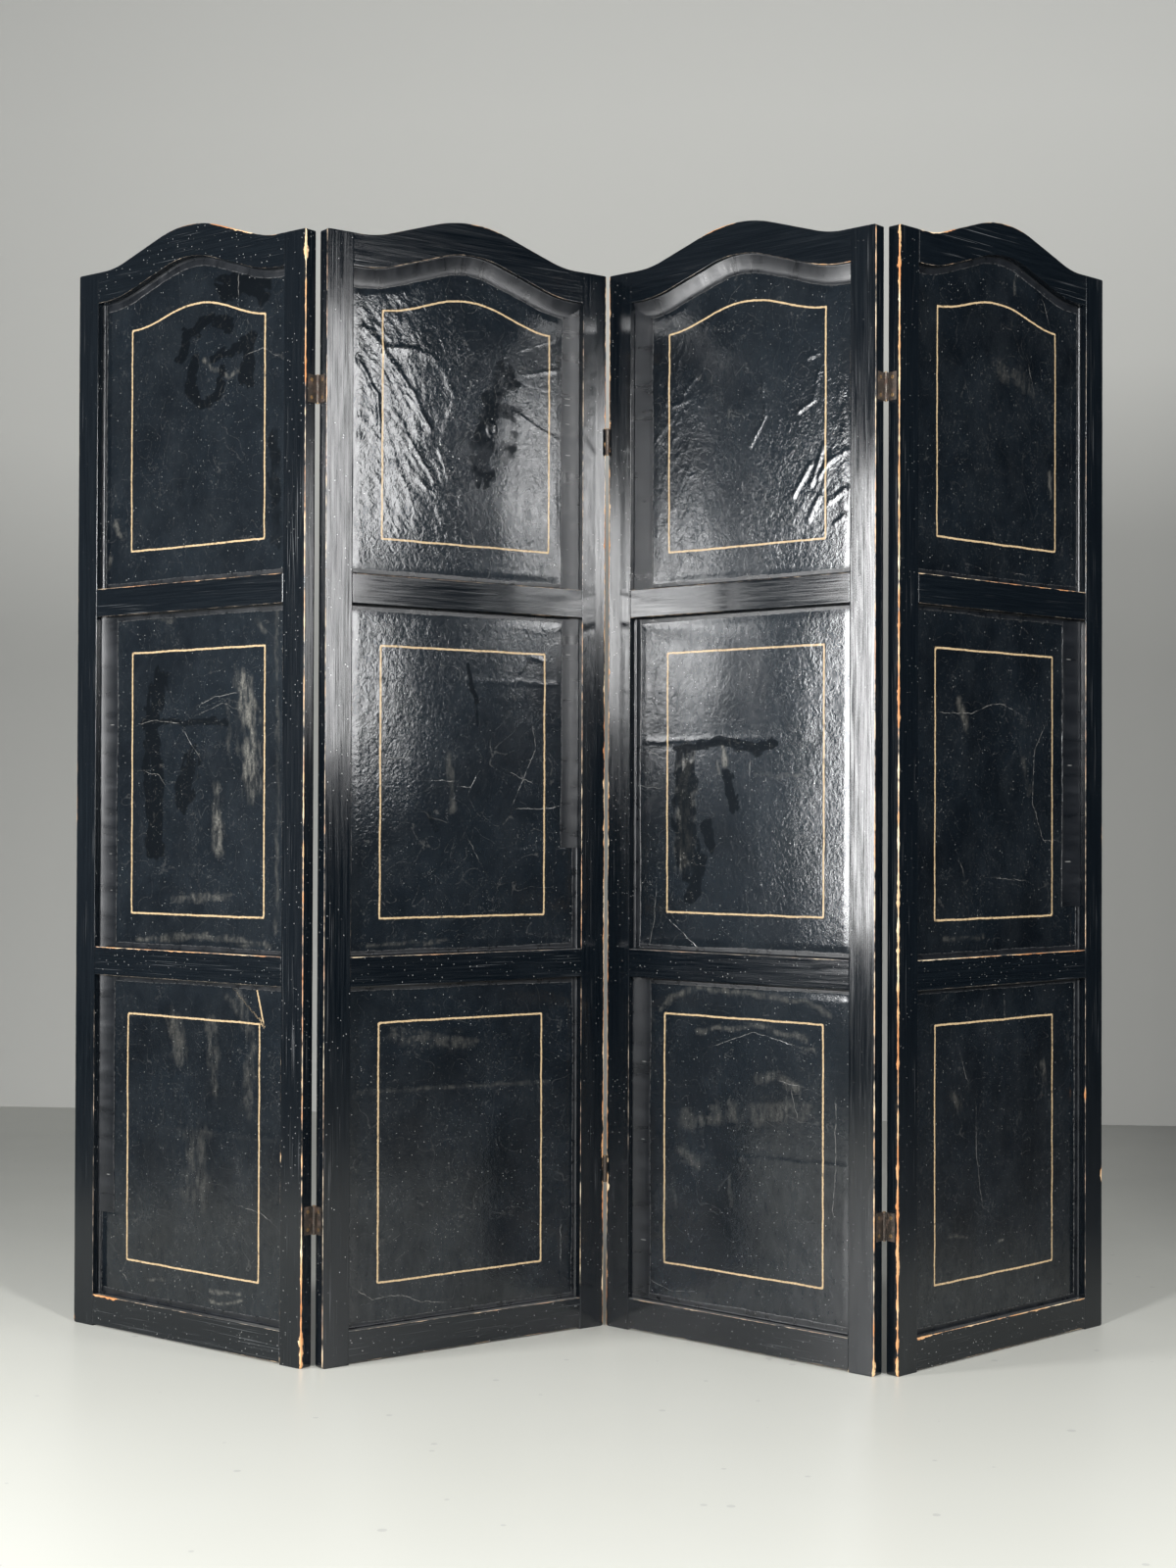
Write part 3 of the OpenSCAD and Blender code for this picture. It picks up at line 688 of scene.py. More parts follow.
# What the photograph shows on each leather, in its fold's millimetres. A mark is half its width, its
# strength and then a run of points as x, z, x, z; a ridge's strength is its height, and a crack has
# no width.
leatherMarks = {
    (1, "top"): {
        "dents": 0.12, "crinkle": 0.3,
        "matt": [(24, 1, 345, 1725, 395, 1718, 430, 1702),
                 (13, 1, 240, 1615, 255, 1655, 315, 1670, 355, 1655),
                 (11, 0.95, 275, 1610, 260, 1565, 290, 1535, 330, 1550, 340, 1585),
                 (16, 1, 400, 1620, 395, 1565), (11, 0.9, 315, 1605, 365, 1615, 405, 1630),
                 (14, 0.7, 458, 1465, 465, 1300)],
        "scuff": [(5, 0.6, 295, 1605, 355, 1570, 375, 1580), (7, 0.6, 75, 1355, 95, 1330),
                  (6, 0.6, 65, 1295, 50, 1260)],
        "crack": [(0.8, 400, 1605, 430, 1610, 465, 1595), (1, 375, 1745, 375, 1705)],
    },
    (1, "middle"): {
        "dents": 0.2, "crinkle": 0.3,
        "matt": [(24, 1, 190, 1085, 170, 1020, 175, 950, 185, 805), (22, 0.95, 270, 950, 250, 890),
                 (7, 0.9, 155, 1020, 240, 1015, 350, 1015)],
        "scuff": [(24, 1, 388, 1080, 408, 1000, 412, 905), (14, 0.8, 330, 905, 335, 800),
                  (6, 0.5, 355, 1040, 360, 955), (5, 0.4, 420, 1175, 440, 1155),
                  (8, 0.45, 225, 725, 365, 730), (7, 0.5, 140, 655, 305, 665, 450, 655),
                  (5, 0.3, 155, 1195, 225, 1185), (5, 0.35, 465, 1185, 470, 1005, 470, 675)],
        "crack": [(1, 295, 1045, 325, 1055, 375, 1060), (0.8, 295, 1030, 345, 1045, 375, 1035),
                  (0.8, 145, 1015, 170, 1020, 235, 1015), (0.7, 155, 935, 190, 930, 205, 915),
                  (0.7, 255, 995, 280, 970, 290, 955)],
    },
    (1, "bottom"): {
        "dents": 0.25, "crinkle": 0.3, "spur": [(440, 535), (425, 585)],
        "scuff": [(22, 0.35, 225, 525, 245, 470), (14, 0.35, 320, 530, 330, 415),
                  (16, 0.35, 385, 575, 415, 490, 405, 390), (40, 0.25, 285, 335, 285, 250),
                  (3, 0.6, 170, 90, 210, 95), (4, 0.9, 320, 90, 390, 95),
                  (3, 0.9, 315, 75, 360, 75, 395, 85), (10, 0.3, 355, 570, 390, 545)],
        "ridge": [(4, 0.2, 90, 350, 270, 350, 465, 350)],
        "crack": [(0.8, 395, 235, 435, 230, 455, 220), (0.8, 115, 115, 105, 95, 120, 80)],
    },
    (2, "top"): {
        "dents": 0.4, "crinkle": 0.6, "creases": (125, 0.42), "pit": [(318, 1500, 7, 10, 0.8)],
        "zone": [(125, 1, 120, 1660, 150, 1400), (60, 0.3, 320, 1660, 420, 1500, 400, 1330)],
        "matt": [(26, 0.66, 345, 1595, 318, 1545, 298, 1450, 305, 1425), (16, 0.62, 340, 1535, 375, 1530),
                 (16, 0.55, 365, 1490, 335, 1440)],
        "ridge": [(5, 0.6, 75, 1640, 110, 1610, 170, 1615),
                  (5, 0.25, 170, 1615, 220, 1595, 245, 1545, 220, 1470),
                  (4, 0.7, 110, 1605, 165, 1545, 200, 1485), (3, 0.5, 155, 1540, 190, 1500),
                  (4, 0.6, 55, 1600, 100, 1535, 105, 1475), (4, 0.5, 155, 1475, 180, 1440, 205, 1405),
                  (3, 0.4, 215, 1455, 235, 1415), (3, 0.4, 165, 1410, 210, 1380),
                  (3, 0.3, 390, 1600, 455, 1615), (3, 0.35, 360, 1535, 460, 1495),
                  (3, 0.3, 380, 1640, 455, 1670)],
        "crack": [(0.8, 110, 1375, 120, 1365, 120, 1350), (0.8, 110, 1330, 120, 1325, 120, 1315),
                  (0.8, 280, 1325, 285, 1310), (0.8, 330, 1365, 345, 1345)],
    },
    (2, "middle"): {
        "dents": 0.35, "crinkle": 0.45,
        "zone": [(60, 0.7, 125, 1160, 125, 990), (22, 0.7, 375, 1175, 450, 1175)],
        "matt": [(4, 0.9, 275, 1110, 280, 1080, 295, 1050), (3, 0.6, 285, 1080, 295, 1010),
                 (6, 0.5, 200, 865, 215, 840)],
        "scuff": [(8, 0.3, 240, 960, 245, 870), (4, 0.4, 85, 655, 240, 660)],
        "ridge": [(4, 0.2, 60, 1085, 240, 1085, 460, 1085), (3, 0.4, 375, 1100, 400, 1130, 425, 1120)],
        "crack": [(1, 215, 920, 245, 920), (1, 265, 910, 280, 910, 290, 925),
                  (0.8, 360, 935, 380, 925, 400, 920), (0.7, 405, 1010, 410, 975, 365, 885),
                  (0.9, 375, 875, 425, 875, 460, 880), (0.7, 125, 955, 155, 955, 170, 975),
                  (0.7, 280, 820, 295, 795)],
    },
    (2, "bottom"): {
        "dents": 0.3, "crinkle": 0.3,
        "scuff": [(16, 0.3, 135, 510, 285, 490), (5, 0.25, 70, 425, 440, 418)],
        "ridge": [(4, 0.15, 60, 425, 225, 425, 440, 418)],
        "crack": [(0.9, 75, 110, 100, 95, 155, 95, 190, 80, 230, 75), (0.8, 465, 175, 465, 120)],
    },
    (3, "top"): {
        "dents": 0.45, "crinkle": 0.6, "creases": (57, 0.25),
        "zone": [(45, 0.9, 130, 1650, 130, 1500), (65, 0.9, 150, 1440, 150, 1270),
                 (50, 0.8, 395, 1350, 470, 1420), (14, 0.8, 470, 1560, 475, 1330)],
        "ridge": [(4, 0.6, 115, 1600, 115, 1555), (4, 0.5, 175, 1590, 155, 1570),
                  (4, 0.5, 95, 1500, 125, 1525), (4, 0.55, 375, 1375, 410, 1425),
                  (4, 0.55, 410, 1390, 435, 1450), (4, 0.5, 425, 1400, 445, 1425, 485, 1440),
                  (4, 0.6, 445, 1360, 480, 1380), (4, 0.5, 455, 1325, 480, 1340),
                  (3, 0.5, 385, 1510, 415, 1525, 425, 1570), (3, 0.35, 315, 1565, 320, 1510, 290, 1465),
                  (4, 0.5, 200, 1660, 220, 1700), (3, 0.4, 405, 1595, 425, 1600),
                  (4, 0.5, 425, 1370, 405, 1335), (3, 0.4, 130, 1550, 160, 1555)],
    },
    (3, "middle"): {
        "dents": 0.4, "crinkle": 0.35,
        "zone": [(38, 0.7, 95, 1180, 95, 1000), (58, 0.4, 420, 1140, 420, 1000)],
        "matt": [(10, 1, 135, 975, 250, 985, 300, 970, 340, 985), (13, 1, 245, 930, 258, 880),
                 (12, 1, 200, 850, 212, 815), (15, 1, 190, 800, 185, 765, 168, 735),
                 (26, 0.8, 155, 950, 160, 780)],
        "scuff": [(24, 0.9, 158, 960, 155, 790), (6, 1, 232, 980, 242, 950), (3, 0.6, 225, 955, 230, 935),
                  (5, 0.3, 300, 930, 395, 930)],
        "ridge": [(4, 0.3, 60, 990, 160, 990, 330, 990, 480, 985)],
        "crack": [(0.8, 290, 950, 290, 930), (0.8, 75, 975, 115, 960), (0.8, 60, 915, 100, 910),
                  (0.8, 125, 690, 165, 660, 185, 645), (0.7, 80, 645, 90, 685, 95, 745),
                  (0.8, 410, 1195, 405, 1160), (0.8, 315, 640, 330, 650)],
    },
    (3, "bottom"): {
        "dents": 0.25, "crinkle": 0.3,
        "scuff": [(6, 0.45, 105, 540, 130, 565, 185, 580, 300, 575, 400, 570, 450, 550),
                  (6, 0.5, 185, 510, 300, 525, 375, 515, 405, 510), (12, 0.5, 310, 440, 345, 445, 385, 430),
                  (22, 0.3, 160, 360, 300, 385, 400, 400), (16, 0.35, 150, 310, 185, 290),
                  (4, 0.4, 150, 290, 185, 290), (4, 0.3, 135, 240, 140, 215), (5, 0.3, 250, 275, 255, 230),
                  (3, 0.7, 395, 495, 420, 495)],
        "ridge": [(4, 0.3, 85, 305, 290, 310, 480, 315)],
        "crack": [(1, 355, 440, 385, 435), (0.8, 375, 425, 385, 385), (1, 460, 410, 460, 310, 455, 240),
                  (0.8, 90, 85, 130, 75, 190, 80), (0.8, 225, 490, 300, 515, 375, 500)],
    },
    (4, "top"): {
        "dents": 0.15, "crinkle": 0.25,
        "scuff": [(7, 0.8, 415, 1440, 415, 1405), (18, 0.2, 270, 1600, 360, 1575),
                  (3, 0.5, 315, 1755, 315, 1725)],
        "crack": [(0.8, 395, 1720, 405, 1700), (0.7, 355, 1605, 360, 1590), (0.8, 320, 1265, 345, 1265)],
    },
    (4, "middle"): {
        "dents": 0.15, "crinkle": 0.25,
        "scuff": [(8, 0.25, 340, 960, 355, 905), (5, 0.3, 130, 670, 235, 670),
                  (9, 0.5, 170, 1050, 190, 1005)],
        "crack": [(0.9, 125, 1030, 200, 1030, 245, 1045, 280, 1050, 310, 1040),
                  (1, 395, 1010, 370, 975, 365, 890, 395, 825, 415, 825), (0.7, 270, 765, 335, 760),
                  (0.8, 175, 785, 180, 775)],
    },
    (4, "bottom"): {
        "dents": 0.2, "crinkle": 0.25,
        "scuff": [(9, 0.5, 395, 455, 400, 430), (3, 0.8, 145, 195, 170, 195, 190, 190),
                  (3, 0.8, 275, 175, 285, 175), (10, 0.3, 155, 420, 170, 400)],
        "ridge": [(4, 0.16, 70, 315, 245, 305, 455, 310)],
        "crack": [(0.8, 215, 400, 215, 325, 230, 245), (0.7, 180, 470, 190, 445),
                  (0.7, 290, 565, 290, 540)],
    },
}


def lineGap(x, z, points):
    # Signed distance to the nearest stretch of a polyline: the distance to the segment, with the
    # sign of the side that the point lies on
    best = np.full(x.shape, 1e3)
    for (x0, z0), (x1, z1) in zip(points[:-1], points[1:]):
        dx, dz = x1 - x0, z1 - z0
        length = math.hypot(dx, dz)
        along = np.clip(((x - x0) * dx + (z - z0) * dz) / length ** 2, 0, 1)
        away = np.hypot(x - x0 - along * dx, z - z0 - along * dz)
        side = np.where((x - x0) * dz - (z - z0) * dx > 0, 1.0, -1.0)
        best = np.where(away < np.abs(best), side * away, best)
    return best


def runs(marks, kind, count):
    # a kind's marks as their values and their run of points
    return [(*mark[:count], list(zip(mark[count::2], mark[count + 1::2]))) for mark in marks.get(kind, ())]


def strokes(x, z, marks, seed, soft):
    # Marks along runs of points, their edge pushed about by noise and their inside streaked along the
    # run. soft = 0 gives wiped marks with a clear edge, 1 gives veils that fade from the middle.
    mask = np.zeros(x.shape)
    pushX = layeredNoise(x / 30, z / 30, seed) - 0.5
    pushZ = layeredNoise(x / 30, z / 30, seed + 2) - 0.5
    for k, (half, strength, points) in enumerate(marks):
        far = 6 + 1.2 * half
        reach = np.abs(lineGap(x + far * pushX, z + far * pushZ, points)) / half
        a = math.atan2(points[-1][1] - points[0][1], points[-1][0] - points[0][0])
        u, v = x * math.cos(a) + z * math.sin(a), z * math.cos(a) - x * math.sin(a)
        streaks = layeredNoise(u / 60, v / (4 + 0.2 * half), seed + k, 3)
        body = 1 - smoothStep(reach, 0.8 - 0.75 * soft, 1.2)
        patchy = smoothStep(streaks + 0.3 * (1 - reach), 0.3 + 0.1 * soft, 0.52 + 0.2 * soft)
        mask = np.maximum(mask, strength * body * patchy)
    return mask


def creaseNoise(x, z, turn, acrossSize, alongSize, seed):
    # ridges along one direction: 1 - |2 noise - 1| on turned, stretched and warped coordinates
    a = math.radians(turn)
    u = x * math.cos(a) + z * math.sin(a)
    v = -x * math.sin(a) + z * math.cos(a)
    v = v + 9 * (softNoise(u / 60, v / 40, seed + 5) - 0.5)
    return (1 - np.abs(2 * softNoise(u / alongSize, v / acrossSize, seed) - 1)) ** 3


def goldPath(n, panel):
    left, right, low, *high = goldLines[(n, panel)]
    if panel != "top":
        return [(left, low), (right, low), (right, high[0]), (left, high[0]), (left, low)]
    cornerLeft, peak, cornerRight = high
    t = np.linspace(0, 1, 41)
    # an arch that is level at its corners and its peak: half a cosine each way
    corner = cornerRight + (cornerLeft - cornerRight) * t
    arch = corner + (peak - corner) * (0.5 - 0.5 * np.cos(2 * math.pi * t)) ** 0.9
    over = [(right + (left - right) * a, b) for a, b in zip(t, arch)]
    return [(left, low), (right, low)] + [(float(a), float(b)) for a, b in over] + [(left, low)]


def leather(n, panel):
    marks = leatherMarks[(n, panel)]
    name = f"fold_{n}_{panel}_leather"
    x, z, low, high = panelGrid(panel, leatherLook["fineGrid" if "zone" in marks else "grid"])
    openHead = headHeight(x[0], headRail) if panel == "top" else high - lap
    seed = 10 * n + 1 + list(openings).index(panel)

    # the leather lies flat under the tapes and is free inside them
    gaps = {"left": x - stileWidth, "right": width - stileWidth - x, "low": z - openings[panel][0],
            "arch": openHead[None] - z}
    sides = tapeSides(n, panel)
    free, pillow = np.ones(x.shape), np.ones(x.shape)
    for side, gap in gaps.items():
        inside = gap - tapeBreadth(sides[side], z)
        free = free * smoothStep(inside, -1, leatherLook["tapeFade"])
        pillow = pillow * smoothStep(inside, 0, leatherLook["pillowEdge"])

    zone = strokes(x, z, runs(marks, "zone", 2), seed + 4, 1.3)
    size = leatherLook["billowSize"]
    relief = leatherLook["billow"] * layeredNoise(x / size, z / size, seed, 2)
    relief = relief + pillowHeights.get((n, panel), leatherLook["pillow"]) * pillow
    size = leatherLook["dentSize"]
    dented = 1 - np.abs(2 * layeredNoise(x / size, z / size, seed + 1, 3) - 1)
    relief = relief + leatherLook["dents"] * marks["dents"] * dented ** 2 * (0.4 + 0.6 * zone)
    if "creases" in marks:
        turn, height = marks["creases"]
        creases = creaseNoise(x, z, turn, 17, 100, seed) ** 1.2
        creases = creases + 0.45 * creaseNoise(x, z, turn + 12, 10, 50, seed + 4) ** 1.2
        relief = relief + height * creases * zone
    for wide, height, points in runs(marks, "ridge", 2):
        wander = 7 * (layeredNoise(x / 45, z / 45, seed + 6) - 0.5)
        gap = lineGap(x + wander, z + wander, points)
        relief = relief + height * np.exp(-(gap / wide) ** 2) * (0.5 + 0.9 * softNoise(x / 30, z / 30, seed))
    pit = np.zeros(x.shape)
    for cx, cz, rx, rz, depth in marks.get("pit", ()):
        reach = np.hypot((x - cx) / rx, (z - cz) / rz)
        pit = np.maximum(pit, 1 - smoothStep(reach, 0.6, 1.4))
        relief = relief + depth * np.exp(-((reach - 1) / 0.35) ** 2) - 0.2 * pit
    relief = np.clip(relief, 0, None) * free

    # painted line and single cracks
    wobble = leatherLook["goldWobble"]
    wx = x + wobble * (layeredNoise(x / 70, z / 50, seed + 8) - 0.5) * 2
    wz = z + wobble * (layeredNoise(x / 50, z / 70, seed + 9) - 0.5) * 2
    gold = lineGap(wx, wz, goldPath(n, panel))
    if "spur" in marks:
        spur = lineGap(wx, wz, marks["spur"])
        gold = np.where(np.abs(spur) < np.abs(gold), spur, gold)
    crack = np.full(x.shape, 1e3)
    for strength, points in runs(marks, "crack", 1):
        jog = 5 * (layeredNoise(x / 18, z / 18, seed + 12) - 0.5)
        gap = lineGap(x + jog, z + jog, points) / strength
        crack = np.where(np.abs(gap) < np.abs(crack), gap, crack)

    points, quads, lid, rim = sheetShell(np.stack([x, lip - relief, z], -1), [0, foldSizes["leather"], 0])

    def both(values):
        # values over the face, repeated along the edge
        return np.concatenate([np.ravel(values), np.ravel(values)[rim]])

    crinkle = marks["crinkle"] + (1 - marks["crinkle"]) * zone
    piece = meshPiece(
        name, standInPlace(n, points), quads, [lid],
        floats={"goldGap": both(gold), "crackGap": both(crack), "crinkle": both(crinkle * free),
                "matt": both(strokes(x, z, runs(marks, "matt", 2), seed, 0.15)),
                "scuff": both(strokes(x, z, runs(marks, "scuff", 2), seed + 3, 0.8))},
        vectors={"place": (points + n * foldsApart) * mm})
    enlist(piece, n, name)
    return piece


leathers = [leather(n, panel) for n in folds for panel in openings]
print("leathers:", len(leathers), "faces", sum(len(p.data.polygons) for p in leathers))


# Linings on the back: one cloth behind each opening, slack between its tacks
liningShape = {
    "grid": 7.0,
    "front": 20.7,           # face on the boards
    "thickness": 0.8,
    "slack": 0.45,           # most that the cloth swells over its own plane
    "tackSpacing": 62.0,
    "tackInset": 6.0,
    "tacksAcross": 8,
    "tackStop": 20.0,        # no side tack stands nearer the head
    "overall": 1750.0,       # height of a fold's three linings together, in place
}


def lining(n):
    points, quads, lids, count, spots, area = [], [], [], 0, [], 0
    across, inset, apart = panelRight - panelLeft, liningShape["tackInset"], liningShape["tackSpacing"]
    for panel in openings:
        x, z, low, high = panelGrid(panel, liningShape["grid"])
        edge = np.minimum(np.minimum(x - panelLeft, panelRight - x), np.minimum(z - low, high[None] - z))
        seed = 200 + 10 * n + len(panel)
        scallop = 0.5 + 0.5 * np.cos(2 * math.pi * (x + z) / apart)
        swell = layeredNoise(x / 140, z / 90, seed) * smoothStep(edge, 6, 60)
        pull = creaseNoise(x, z, 32, 34, 120, seed) * smoothStep(edge, 4, 40)
        swell = swell + 0.35 * pull + 0.25 * scallop * (1 - smoothStep(edge, 4, 30)) * smoothStep(edge, 0, 6)
        y = liningShape["front"] + liningShape["thickness"] + liningShape["slack"] * swell
        shell, faces, lid, rim = sheetShell(np.stack([x, y, z], -1), [0, -liningShape["thickness"], 0])
        points.append(shell)
        quads.append(faces + count)
        lids.append(tuple(count + k for k in lid))
        count += len(shell)
        area += across * float((panelHead(panel, np.linspace(panelLeft, panelRight, 400)) - low).mean())
        # tacks along the lower and the upper edge, then up both sides
        for tackX in np.linspace(panelLeft + inset, panelRight - inset, liningShape["tacksAcross"]):
            head = float(panelHead(panel, np.array([tackX]))[0])
            spots += [(tackX, low + inset), (tackX, head - inset)]
        sideTop = stileHeight - headRail if panel == "top" else openings[panel][1]
        for tackZ in np.arange(low + inset + apart, sideTop - liningShape["tackStop"], apart):
            spots += [(panelLeft + inset, tackZ), (panelRight - inset, tackZ)]
    points = np.concatenate(points)
    cloth = meshPiece(f"fold_{n}_back_cloth", standInPlace(n, points), np.concatenate(quads), lids,
                      vectors={"place": (points + n * foldsApart) * mm})
    enlist(cloth, n, f"fold_{n}_linings")
    return cloth, spots


tackShape = {"radius": 3.6, "height": 0.9, "sink": 0.25, "sides": 10, "scatter": 1.6}


def tacks(n, spots):
    # low domes: height times the square root of 1 - (r / radius)^2, on a flat base
    sides, rings = tackShape["sides"], np.array([1.0, 0.92, 0.7, 0.4, 0.12])
    around = np.linspace(0, 2 * math.pi, sides, endpoint=False)
    rise = tackShape["height"] * np.sqrt(np.clip(1 - rings ** 2, 0, 1)) - tackShape["sink"]
    dome = np.stack([tackShape["radius"] * rings[:, None] * np.cos(around),
                     rise[:, None] + 0 * around,
                     tackShape["radius"] * rings[:, None] * np.sin(around)], -1).reshape(-1, 3)
    dome = dome + np.array([0, liningShape["front"] + liningShape["thickness"], 0])
    spots = np.array(spots) + np.random.default_rng(500 + n).normal(0, tackShape["scatter"], (len(spots), 2))
    centres = np.stack([spots[:, 0], np.zeros(len(spots)), spots[:, 1]], -1)
    points = (dome[None] + centres[:, None]).reshape(-1, 3)
    starts = np.arange(len(spots)) * len(dome)
    quads = (ringQuads(len(rings), sides)[None] + starts[:, None, None]).reshape(-1, 4)
    lids = []
    for k in starts.tolist():
        lids.append(tuple(range(k, k + sides))[::-1])
        lids.append(tuple(range(k + len(dome) - sides, k + len(dome))))
    return enlist(meshPiece(f"fold_{n}_lining_tacks", standInPlace(n, points), quads, lids), n)


cloths, tackPieces = [], []
for n in folds:
    cloth, spots = lining(n)
    cloths.append(cloth)
    tackPieces.append(tacks(n, spots))
print("back cloths:", len(cloths))


# Materials: one writer of nodes serves them all
class Nodes:
    # adds nodes to a material's or a group's tree and hands back their outputs
    def __init__(self, tree):
        self.tree = tree

    def add(self, kind, inputs=None, **settings):
        made = self.tree.nodes.new("ShaderNode" + kind)
        for key, value in settings.items():
            setattr(made, key, value)
        for key, value in (inputs or {}).items():
            if isinstance(value, bpy.types.NodeSocket):
                self.tree.links.new(value, made.inputs[key])
            else:
                made.inputs[key].default_value = value
        return made

    def maths(self, operation, a, b=0.0, clamp=False):
        return self.add("Math", {0: a, 1: b}, operation=operation, use_clamp=clamp).outputs[0]

    def times(self, a, b):
        return self.maths("MULTIPLY", a, b)

    def plus(self, a, b):
        return self.maths("ADD", a, b)

    def minus(self, a, b, clamp=False):
        return self.maths("SUBTRACT", a, b, clamp)

    def most(self, a, b):
        return self.maths("MAXIMUM", a, b)

    def size(self, a):
        return self.maths("ABSOLUTE", a)

    def between(self, value, low, high, start=0.0, stop=1.0):
        # value rises from start to stop while it goes from low to high
        return self.add("MapRange", {"Value": value, "From Min": low, "From Max": high, "To Min": start,
                                     "To Max": stop}, clamp=True).outputs["Result"]

    def mix(self, factor, a, b, blend="MIX"):
        return self.add("Mix", {0: factor, 6: a, 7: b}, data_type="RGBA", blend_type=blend).outputs[2]

    def mixValue(self, factor, a, b):
        return self.add("Mix", {0: factor, 2: a, 3: b}, data_type="FLOAT").outputs[0]

    def value(self, name):
        return self.add("Attribute", attribute_name=name).outputs["Fac"]

    def vector(self, name):
        return self.add("Attribute", attribute_name=name).outputs["Vector"]

    def place(self):
        return self.add("TexCoord").outputs["Object"]

    def parts(self, vector):
        return self.add("SeparateXYZ", {0: vector}).outputs

    def stretch(self, vector, scale, spot=(0, 0, 0)):
        return self.add("Mapping", {"Vector": vector, "Scale": scale, "Location": spot}).outputs["Vector"]

    def noise(self, vector, scale, detail=2.0, rough=0.5, warp=0.0, spot=(0, 0, 0)):
        # a scale of three numbers stretches the noise
        if isinstance(scale, tuple):
            vector, scale = self.stretch(vector, scale, spot), 1.0
        return self.add("TexNoise", {"Vector": vector, "Scale": scale, "Detail": detail, "Roughness": rough,
                                     "Distortion": warp}).outputs["Fac"]

    def bump(self, height, strength, distance, **under):
        return self.add("Bump", {"Height": height, "Strength": strength, "Distance": distance,
                                 **under}).outputs["Normal"]

    def group(self, tree, **inputs):
        return self.add("Group", inputs, node_tree=tree).outputs

    def specks(self, vector, scale, amount):
        return self.group(dustSpecks, Vector=vector, Scale=scale, Amount=amount)["Mask"]

    def connect(self, **sources):
        # links sources to the sockets of the material's shader
        for key, source in sources.items():
            self.tree.links.new(source, self.shader.inputs[key.replace("_", " ")])

    def give(self, **outputs):
        # ends a group with numbers as its outputs
        leave = self.tree.nodes.new("NodeGroupOutput")
        for label, source in outputs.items():
            self.tree.interface.new_socket(label, in_out="OUTPUT", socket_type="NodeSocketFloat")
            self.tree.links.new(source, leave.inputs[label])
        return self.tree


def newGroup(name, **inputs):
    # inputs are numbers with the given values, or vectors where the value is None
    tree = bpy.data.node_groups.new(name, "ShaderNodeTree")
    for label, value in inputs.items():
        kind = "NodeSocketVector" if value is None else "NodeSocketFloat"
        socket = tree.interface.new_socket(label, in_out="INPUT", socket_type=kind)
        if value is not None:
            socket.default_value = value
    return Nodes(tree), tree.nodes.new("NodeGroupInput").outputs


def newMaterial(name, colour, **sockets):
    material = bpy.data.materials.new(name)
    material.use_nodes = True
    material.diffuse_color = (*colour, 1)
    m = Nodes(material.node_tree)
    m.shader = m.tree.nodes["Principled BSDF"]
    for key, value in sockets.items():
        m.shader.inputs[key.replace("_", " ")].default_value = value
    return material, m


def dustGroup():
    # pale specks: random cells, of which a share holds a dot of random size
    g, take = newGroup("dust specks", Vector=None, Scale=150.0, Amount=0.1)
    cells = g.add("TexVoronoi", {"Vector": take["Vector"], "Scale": take["Scale"]})
    parts = g.add("SeparateColor", {"Color": cells.outputs["Color"]})
    chosen = g.maths("LESS_THAN", parts.outputs["Red"], take["Amount"])
    radius = g.between(parts.outputs["Green"], 0.0, 1.0, 0.04, 0.2)
    dot = g.between(g.minus(radius, cells.outputs["Distance"]), 0.0, 0.03)
    return g.give(Mask=g.times(dot, chosen))


def wearGroup():
    # bare wood where the arris is nearer than the width of its wear, with a chipped edge
    g, take = newGroup("arris wear", Vector=None, Gap=10.0, Width=0.0)
    coarse = g.noise(g.stretch(take["Vector"], (1, 1, 0.45)), 170.0, 4.0, 0.6)
    factor = g.between(coarse, 0.3, 0.7, 0.15, 1.75)
    reach = g.minus(g.times(take["Width"], factor), take["Gap"])
    bare = g.times(g.between(reach, 0.0, 0.25), g.between(take["Width"], 0.02, 0.12))
    wide = g.times(g.between(reach, -0.7, 0.1), g.between(take["Width"], 0.3, 0.9))
    return g.give(Bare=bare, Rim=g.minus(wide, bare, True))


def grainGroup():
    # streaks along the third axis of the grain: stretched noise, coarse and fine
    g, take = newGroup("long grain", Vector=None)
    warp = g.times(g.noise(take["Vector"], (9, 9, 2.2), 2.0), 0.012)
    shift = g.add("CombineXYZ", {"X": warp, "Y": 0.0, "Z": 0.0}).outputs[0]
    bent = g.add("VectorMath", {0: take["Vector"], 1: shift}, operation="ADD").outputs[0]
    coarse, fine = g.noise(bent, (150, 150, 3.5), 3.0, 0.55), g.noise(bent, (620, 620, 9), 2.0, 0.6)
    return g.give(Streaks=coarse, Fine=fine, Height=g.plus(g.times(coarse, 0.45), g.times(fine, 0.55)))


